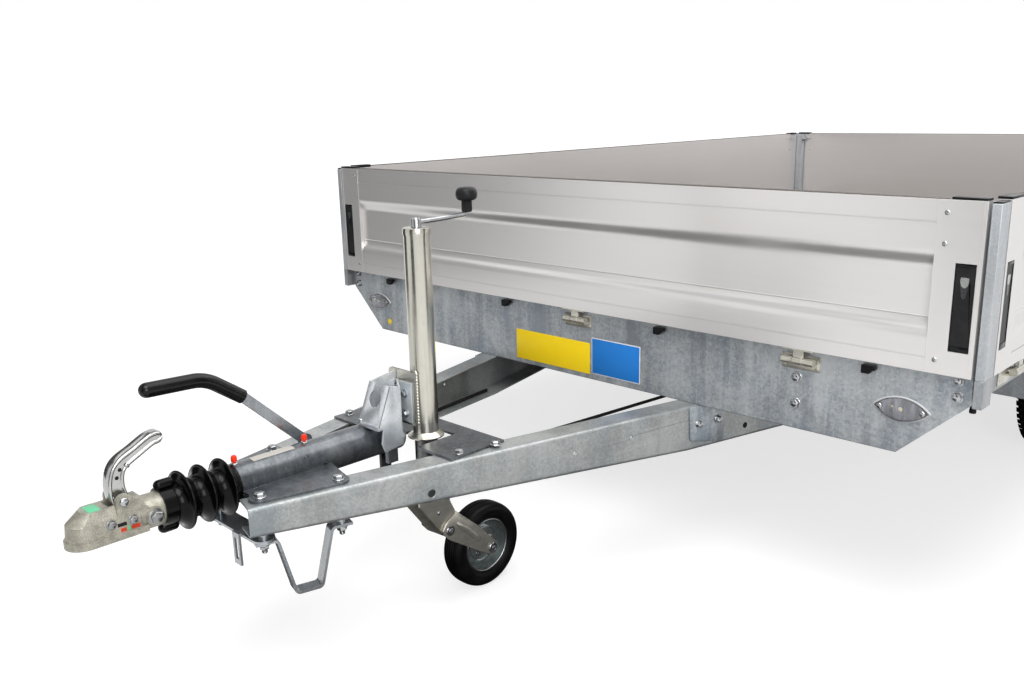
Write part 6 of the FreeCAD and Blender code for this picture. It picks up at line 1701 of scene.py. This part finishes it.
    def tyre(self) -> None:
        """Solid tyre with rounded shoulders, a shallow rib in the middle and a raised ring on each flank."""
        shares = ((0.70, 0.0), (0.80, 0.05), (0.90, 0.20), (0.955, 0.30), (0.94, 0.34), (0.965, 0.40),
                  (1.0, 0.52), (0.985, 0.66), (0.93, 0.78), (0.82, 0.885), (0.70, 0.938), (0.67, 0.91),
                  (0.62, 0.92), (0.60, 0.96), (0.55, 0.970), (0.53, 0.915), (0.47, 0.915), (0.45, 0.983),
                  (0.33, 0.992), (0.31, 0.930), (0.25, 0.930), (0.23, 0.996), (0.11, 1.0), (0.09, 0.940),
                  (0.03, 0.940))
        right = [(self.half * across, self.inner + (self.outer - self.inner) * up) for across, up in shares]
        profile = right + [(-along, radius) for along, radius in right[::-1]]
        shell = Shell().ring((self.x, self.axis_y, self.axis_z), (1, 0, 0), profile, 96)
        tyre = solid_piece("jockey_rubber_tyre", shell, TYRE_BLACK, JOCKEY_WHEEL)
        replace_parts(tyre, "jockey_tyre")


def tread_tree() -> NodeTree:
    """Tree that sets one tread block at each step round a wheel, on both shoulders.

    Returns:
        The tree.
    """
    nodes = NodeTree("tread_blocks", Block="NodeSocketObject", Count="NodeSocketInt",
                     Radius="NodeSocketFloat", Middle="NodeSocketVector", Finish="NodeSocketMaterial")
    circle = nodes.add("GeometryNodeMeshCircle", Vertices=nodes.input("Count"), Radius=nodes.input("Radius"))
    place = nodes.add("GeometryNodeInputPosition")
    turned = nodes.add("FunctionNodeAlignRotationToVector", {"axis": "X", "pivot_axis": "Z"},
                       Vector=place.outputs["Position"])
    shape = nodes.add("GeometryNodeObjectInfo", {"transform_space": "ORIGINAL"}, Object=nodes.input("Block"))
    row = nodes.add("GeometryNodeInstanceOnPoints", Points=circle.outputs["Mesh"],
                    Instance=shape.outputs["Geometry"], Rotation=turned.outputs["Rotation"])
    wheel = nodes.add("GeometryNodeTransform", Geometry=row.outputs["Instances"],
                      Translation=nodes.input("Middle"), Rotation=(0.0, math.pi / 2, 0.0))
    nodes.end_instances(wheel.outputs["Geometry"])
    return nodes


@dataclass
class RoadWheels:
    """Four road wheels: ribbed tyres with shoulder blocks, rims with bolts and a cap. Sizes are in metres."""

    centre_x: float = 0.832
    axis_z: float = 0.274
    axles: tuple[float, float] = (0.682, 1.382)
    outer: float = 0.274
    half: float = 0.080
    rim_half: float = 0.0587
    rim_radius: float = 0.1653
    lip: float = 0.1733
    groove: float = 0.006
    blocks: int = 64
    rim_reach: float = 0.064
    disc_share: float = 0.62
    bolt_circle: float = 0.056
    bolt_size: float = 0.0105

    def build(self) -> None:
        """Make the tyres, dress the rims and set the bolts."""
        tread = tread_tree()
        for row, side in ROAD_WHEELS:
            DRESSER.dress(WHEEL_SILVER, 0.0012, f"rim_{row}_{side}")
            x = self.centre_x if side == "left" else -self.centre_x
            self.wheel(row, side, (x, self.axles[row == "rear"], self.axis_z), tread)

    def profile(self) -> list[tuple[float, float]]:
        """Section of a tyre: bead, flank with its rings, shoulder and ribbed tread.

        Returns:
            Pairs of distance along the axle and radius.
        """
        rise = self.outer - self.lip
        shares = ((0.86, 0.0), (0.93, 0.10), (0.97, 0.25), (0.985, 0.33), (0.975, 0.36), (0.99, 0.42),
                  (1.0, 0.52), (0.985, 0.66), (0.96, 0.77), (0.90, 0.86))
        right = [(self.rim_half, self.rim_radius), (self.rim_half, self.lip)]
        right += [(self.half * across, self.lip + rise * up) for across, up in shares]
        low = self.outer - self.groove
        right += [(0.068, low - 0.0025), (0.0605, low - 0.0005), (0.0590, low + 0.001), (0.0575, low),
                  (0.0540, self.outer - 0.0006), (0.0340, self.outer), (0.0335, low), (0.0275, low),
                  (0.0270, self.outer), (0.0090, self.outer), (0.0085, low), (0.0035, low),
                  (0.0030, self.outer)]
        return right + [(-along, radius) for along, radius in right[::-1]]

    def block(self) -> Shell:
        """One pair of shoulder blocks, one on each edge of the tread, with local x outwards.

        Returns:
            The blocks.
        """
        shell, deep = Shell(), 0.0062
        for side in (-1, 1):
            outline = [(-deep - 0.0016, -0.0088, side * 0.0775), (-0.0028, -0.0084, side * 0.0745),
                       (-0.0006, -0.0082, side * 0.0600), (-deep, -0.0084, side * 0.0590)]
            shell.prism(outline if side > 0 else outline[::-1], (0.0, 0.0170, 0.0))
        return shell.bevel(0.0008, 1)

    def wheel(self, row: str, side: str, centre: Point, tread: NodeTree) -> None:
        """One wheel's tyre, shoulder blocks, bolts and cap.

        Args:
            row: Front or rear.
            side: Left or right.
            centre: The wheel's centre.
            tread: The tree that sets the blocks.
        """
        name, body, way = f"{row}_{side}", f"{row}_{side}_wheel", (1.0 if side == "left" else -1.0)
        x, y, z = centre
        shell = Shell().ring(centre, (1, 0, 0), self.profile(), 96)
        tyre = solid_piece(f"{name}_road_tyre", shell, TYRE_BLACK, body)
        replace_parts(tyre, f"tyre_{name}")
        shape = add_object("block", self.block().mesh("block"))
        made = tread.bake(f"{name}_tread", bpy.data.meshes.new("start"), Block=shape, Count=self.blocks,
                          Radius=self.outer, Middle=centre, Finish=TYRE_BLACK.material())
        bpy.data.objects.remove(shape)
        place_piece(f"{name}_tread", made, TYRE_BLACK, body)
        bolts, seat = Spots(), self.rim_reach * self.disc_share + 0.0005
        for angle in (math.radians(90 + 72 * step) for step in range(5)):
            bolts.add((x + way * seat, y + self.bolt_circle * math.cos(angle),
                       z + self.bolt_circle * math.sin(angle)), (way, 0, 0), self.bolt_size)
        SETTER.set(f"{name}_wheel_bolts", Fastener.WHEEL_BOLT, bolts, BOLT_ZINC, "rim_steel", body)
        cap = Shell().turn((x + way * 0.0635, y, z), (way, 0, 0),
                           [(-0.002, 0), (-0.002, 0.0325), (0.004, 0.0325), (0.0052, 0.0305),
                            (0.0058, 0.024), (0.0062, 0)], 36)
        solid_piece(f"{name}_hub_cap", cap, BOLT_ZINC, body)


@dataclass
class Underside:
    """Chassis rails, cross members, axles and mudguards. Sizes are in metres."""

    bolt_x: float = 0.668
    bolt_z: float = 0.395
    bolt_rows: tuple[float, ...] = (0.430, 0.640, 1.330, 1.640)

    def build(self) -> None:
        """Dress what lies under the floor and set its bolts."""
        DRESSER.dress(CHASSIS_ZINC, 0.001, "chassis_rails", "cross_members")
        DRESSER.dress(AXLE_ZINC, 0.0, "axle_front", "axle_rear")
        DRESSER.dress(BLACK_PLASTIC, 0.0012, "mudguards")
        spots = Spots()
        for y in self.bolt_rows:
            spots.both_sides((self.bolt_x, y, self.bolt_z), FACING["left"], 0.0098)
        SETTER.set("chassis_bolts", Fastener.HEX_BOLT, spots, BOLT_ZINC)


@dataclass
class Studio:
    """Pale floor, soft lights and the photograph's camera. Sizes are in metres, angles in degrees."""

    place: Point = (1.656, -2.788, 1.177)
    lens: float = 32.952
    yaw: float = 45.09
    pitch: float = 14.2
    roll: float = -1.33
    sensor: float = 36.0
    floor_reach: float = 60.0
    floor_grey: float = 0.38
    ambient: float = 0.32

    def build(self) -> None:
        """Set the camera, the floor, the world and the lamps."""
        scene = bpy.context.scene
        scene.view_settings.view_transform = "Standard"
        self.camera()
        self.floor()
        self.world()
        self.lamp("softbox", (1.4, -2.6, 4.0), (0.2, -1.0, 0.6), 2.4, 135.0)
        self.lamp("side", (3.6, -3.4, 2.0), (0.2, -1.0, 0.6), 2.0, 76.0)
        self.lamp("bed", (0.6, 0.8, 4.6), (0.0, 0.8, 0.6), 4.0, 112.0)
        self.lamp("fill", (-5.5, -4.0, 3.4), (0.0, -0.5, 0.5), 4.0, 30.0)
        self.lamp("back", (0.5, 6.5, 5.2), (0.0, 0.5, 0.6), 4.5, 140.0)
        self.flag("flag_right", (2.65, -0.20, 1.05), (0.05, -1.5, 1.05), 1.0, 3.6)
        self.flag("flag_front", (0.4, -4.6, 1.0), (0.05, -1.5, 0.7), 1.5, 3.0)
        self.flag("flag_left", (-3.3, -2.85, 0.9), (0.05, -1.5, 0.7), 2.5, 3.0)
        # A dark card flat under the trailer, seen only in reflections: painted shade of the floor beneath the
        # trailer.
        self.flag("card_under", (-0.425, 0.25, 0.002), (-0.425, 0.25, 1.0), 2.55, 4.3)
        self.flag("card_above", (-1.9, -2.9, 3.0), (0.2, -0.9, 0.7), 4.5, 0.9)

    def camera(self) -> None:
        """Camera at the photograph's place and angle."""
        a, b, c = (math.radians(value) for value in (self.yaw, self.pitch, self.roll))
        forward = Vector((-math.sin(a) * math.cos(b), math.cos(a) * math.cos(b), -math.sin(b)))
        level = Vector((math.cos(a), math.sin(a), 0.0))
        upright = level.cross(forward)
        right = level * math.cos(c) + upright * math.sin(c)
        up = upright * math.cos(c) - level * math.sin(c)
        data = bpy.data.cameras.new("camera")
        data.lens, data.sensor_width, data.clip_start = self.lens, self.sensor, 0.02
        camera = add_object("camera", data)
        axes = Matrix((right, up, -forward)).transposed().to_4x4()
        camera.matrix_world = Matrix.Translation(Vector(self.place)) @ axes
        bpy.context.scene.camera = camera

    def quad(self, name: str, corners: Sequence[Point], material: bpy.types.Material) -> bpy.types.Object:
        """A face of the stage.

        Args:
            name: The face's name.
            corners: Its corners in order.
            material: Its material.

        Returns:
            The face.
        """
        data = bpy.data.meshes.new(name)
        data.from_pydata(corners, [], [(0, 1, 2, 3)])
        data.materials.append(material)
        card = add_object(name, data)
        return card

    def flag(self, name: str, place: Point, target: Point, width: float, height: float) -> None:
        """A black card that only shows as a dark band in bright metal.

        Args:
            name: The card's name.
            place: Its middle.
            target: What it faces.
            width: Its width.
            height: Its height.
        """
        middle = Vector(place)
        heading = (Vector(target) - middle).normalized()
        level = Vector((0, 1, 0)) if abs(heading.z) > 0.99 else Vector((0, 0, 1))
        side = heading.cross(level).normalized()
        across, rise = side * width / 2, side.cross(heading) * height / 2
        card = self.quad(name, [middle - across - rise, middle + across - rise, middle + across + rise,
                                middle - across + rise], PAINTED_SHADE_BLACK.material())
        card.visible_camera = card.visible_diffuse = card.visible_transmission = card.visible_shadow = False

    def floor(self) -> None:
        """Pale floor that shows its own white to the camera and in metal, and keeps the trailer's shadow."""
        graph = Graph("studio_floor")
        distance = graph.add("ShaderNodeVectorMath", {"operation": "LENGTH"}, Vector=graph.object_place)
        glow = graph.add("ShaderNodeMapRange", Value=distance.outputs["Value"], From_Min=2.0, From_Max=7.5,
                         To_Min=0.72, To_Max=1.0)
        graph.set(Base_Color=(self.floor_grey,) * 3, Roughness=0.9, Specular_IOR_Level=0.1,
                  Emission_Color=(1.0, 1.0, 1.0),
                  Emission_Strength=graph.math("MULTIPLY", self.seen_rays(graph), glow.outputs["Result"]))
        reach = self.floor_reach
        self.quad("studio_floor", [(-reach, -reach, 0), (reach, -reach, 0), (reach, reach, 0),
                                   (-reach, reach, 0)], graph.material)

    def seen_rays(self, nodes: Nodes) -> Socket:
        """1 for camera, glossy and transmission rays, else 0.

        Args:
            nodes: The tree that needs it.

        Returns:
            The number.
        """
        path = nodes.add("ShaderNodeLightPath")
        value = path.outputs["Is Camera Ray"]
        for name in ("Is Glossy Ray", "Is Transmission Ray"):
            value = nodes.math("MAXIMUM", value, path.outputs[name])
        return value

    def world(self) -> None:
        """White seen by the camera, in metal and through glass; softer light on the rest."""
        world = bpy.data.worlds.new("studio")
        bpy.context.scene.world = world
        world.use_nodes = True
        nodes = Nodes(world.node_tree)
        level = nodes.add("ShaderNodeMapRange", Value=self.seen_rays(nodes), To_Min=self.ambient, To_Max=1.0)
        back = nodes.tree.nodes["Background"]
        nodes.feed(back.inputs["Color"], (1.0, 1.0, 1.0))
        nodes.feed(back.inputs["Strength"], level.outputs["Result"])

    def lamp(self, name: str, place: Point, target: Point, size: float, power: float) -> None:
        """A soft square lamp that looks at a target.

        Args:
            name: The lamp's name.
            place: Where it hangs.
            target: What it looks at.
            size: Its width and height.
            power: Its power in watts.
        """
        data = bpy.data.lights.new(name, "AREA")
        data.size, data.energy = size, power
        heading = Vector(target) - Vector(place)
        turn = heading.to_track_quat("-Z", "Y").to_matrix().to_4x4()
        add_object(name, data).matrix_world = Matrix.Translation(Vector(place)) @ turn


def main() -> None:
    """Build every sub-assembly in order and log each one's name."""
    logging.basicConfig(level=logging.INFO, format="%(name)s: %(message)s")
    for assembly in (LoadBed(), Panels(), Drawbar(), Coupling(), JockeyWheel(), RoadWheels(), Underside(),
                     Studio()):
        LOG.info("building %s", type(assembly).__name__)
        assembly.build()


if __name__ == "__main__":
    main()
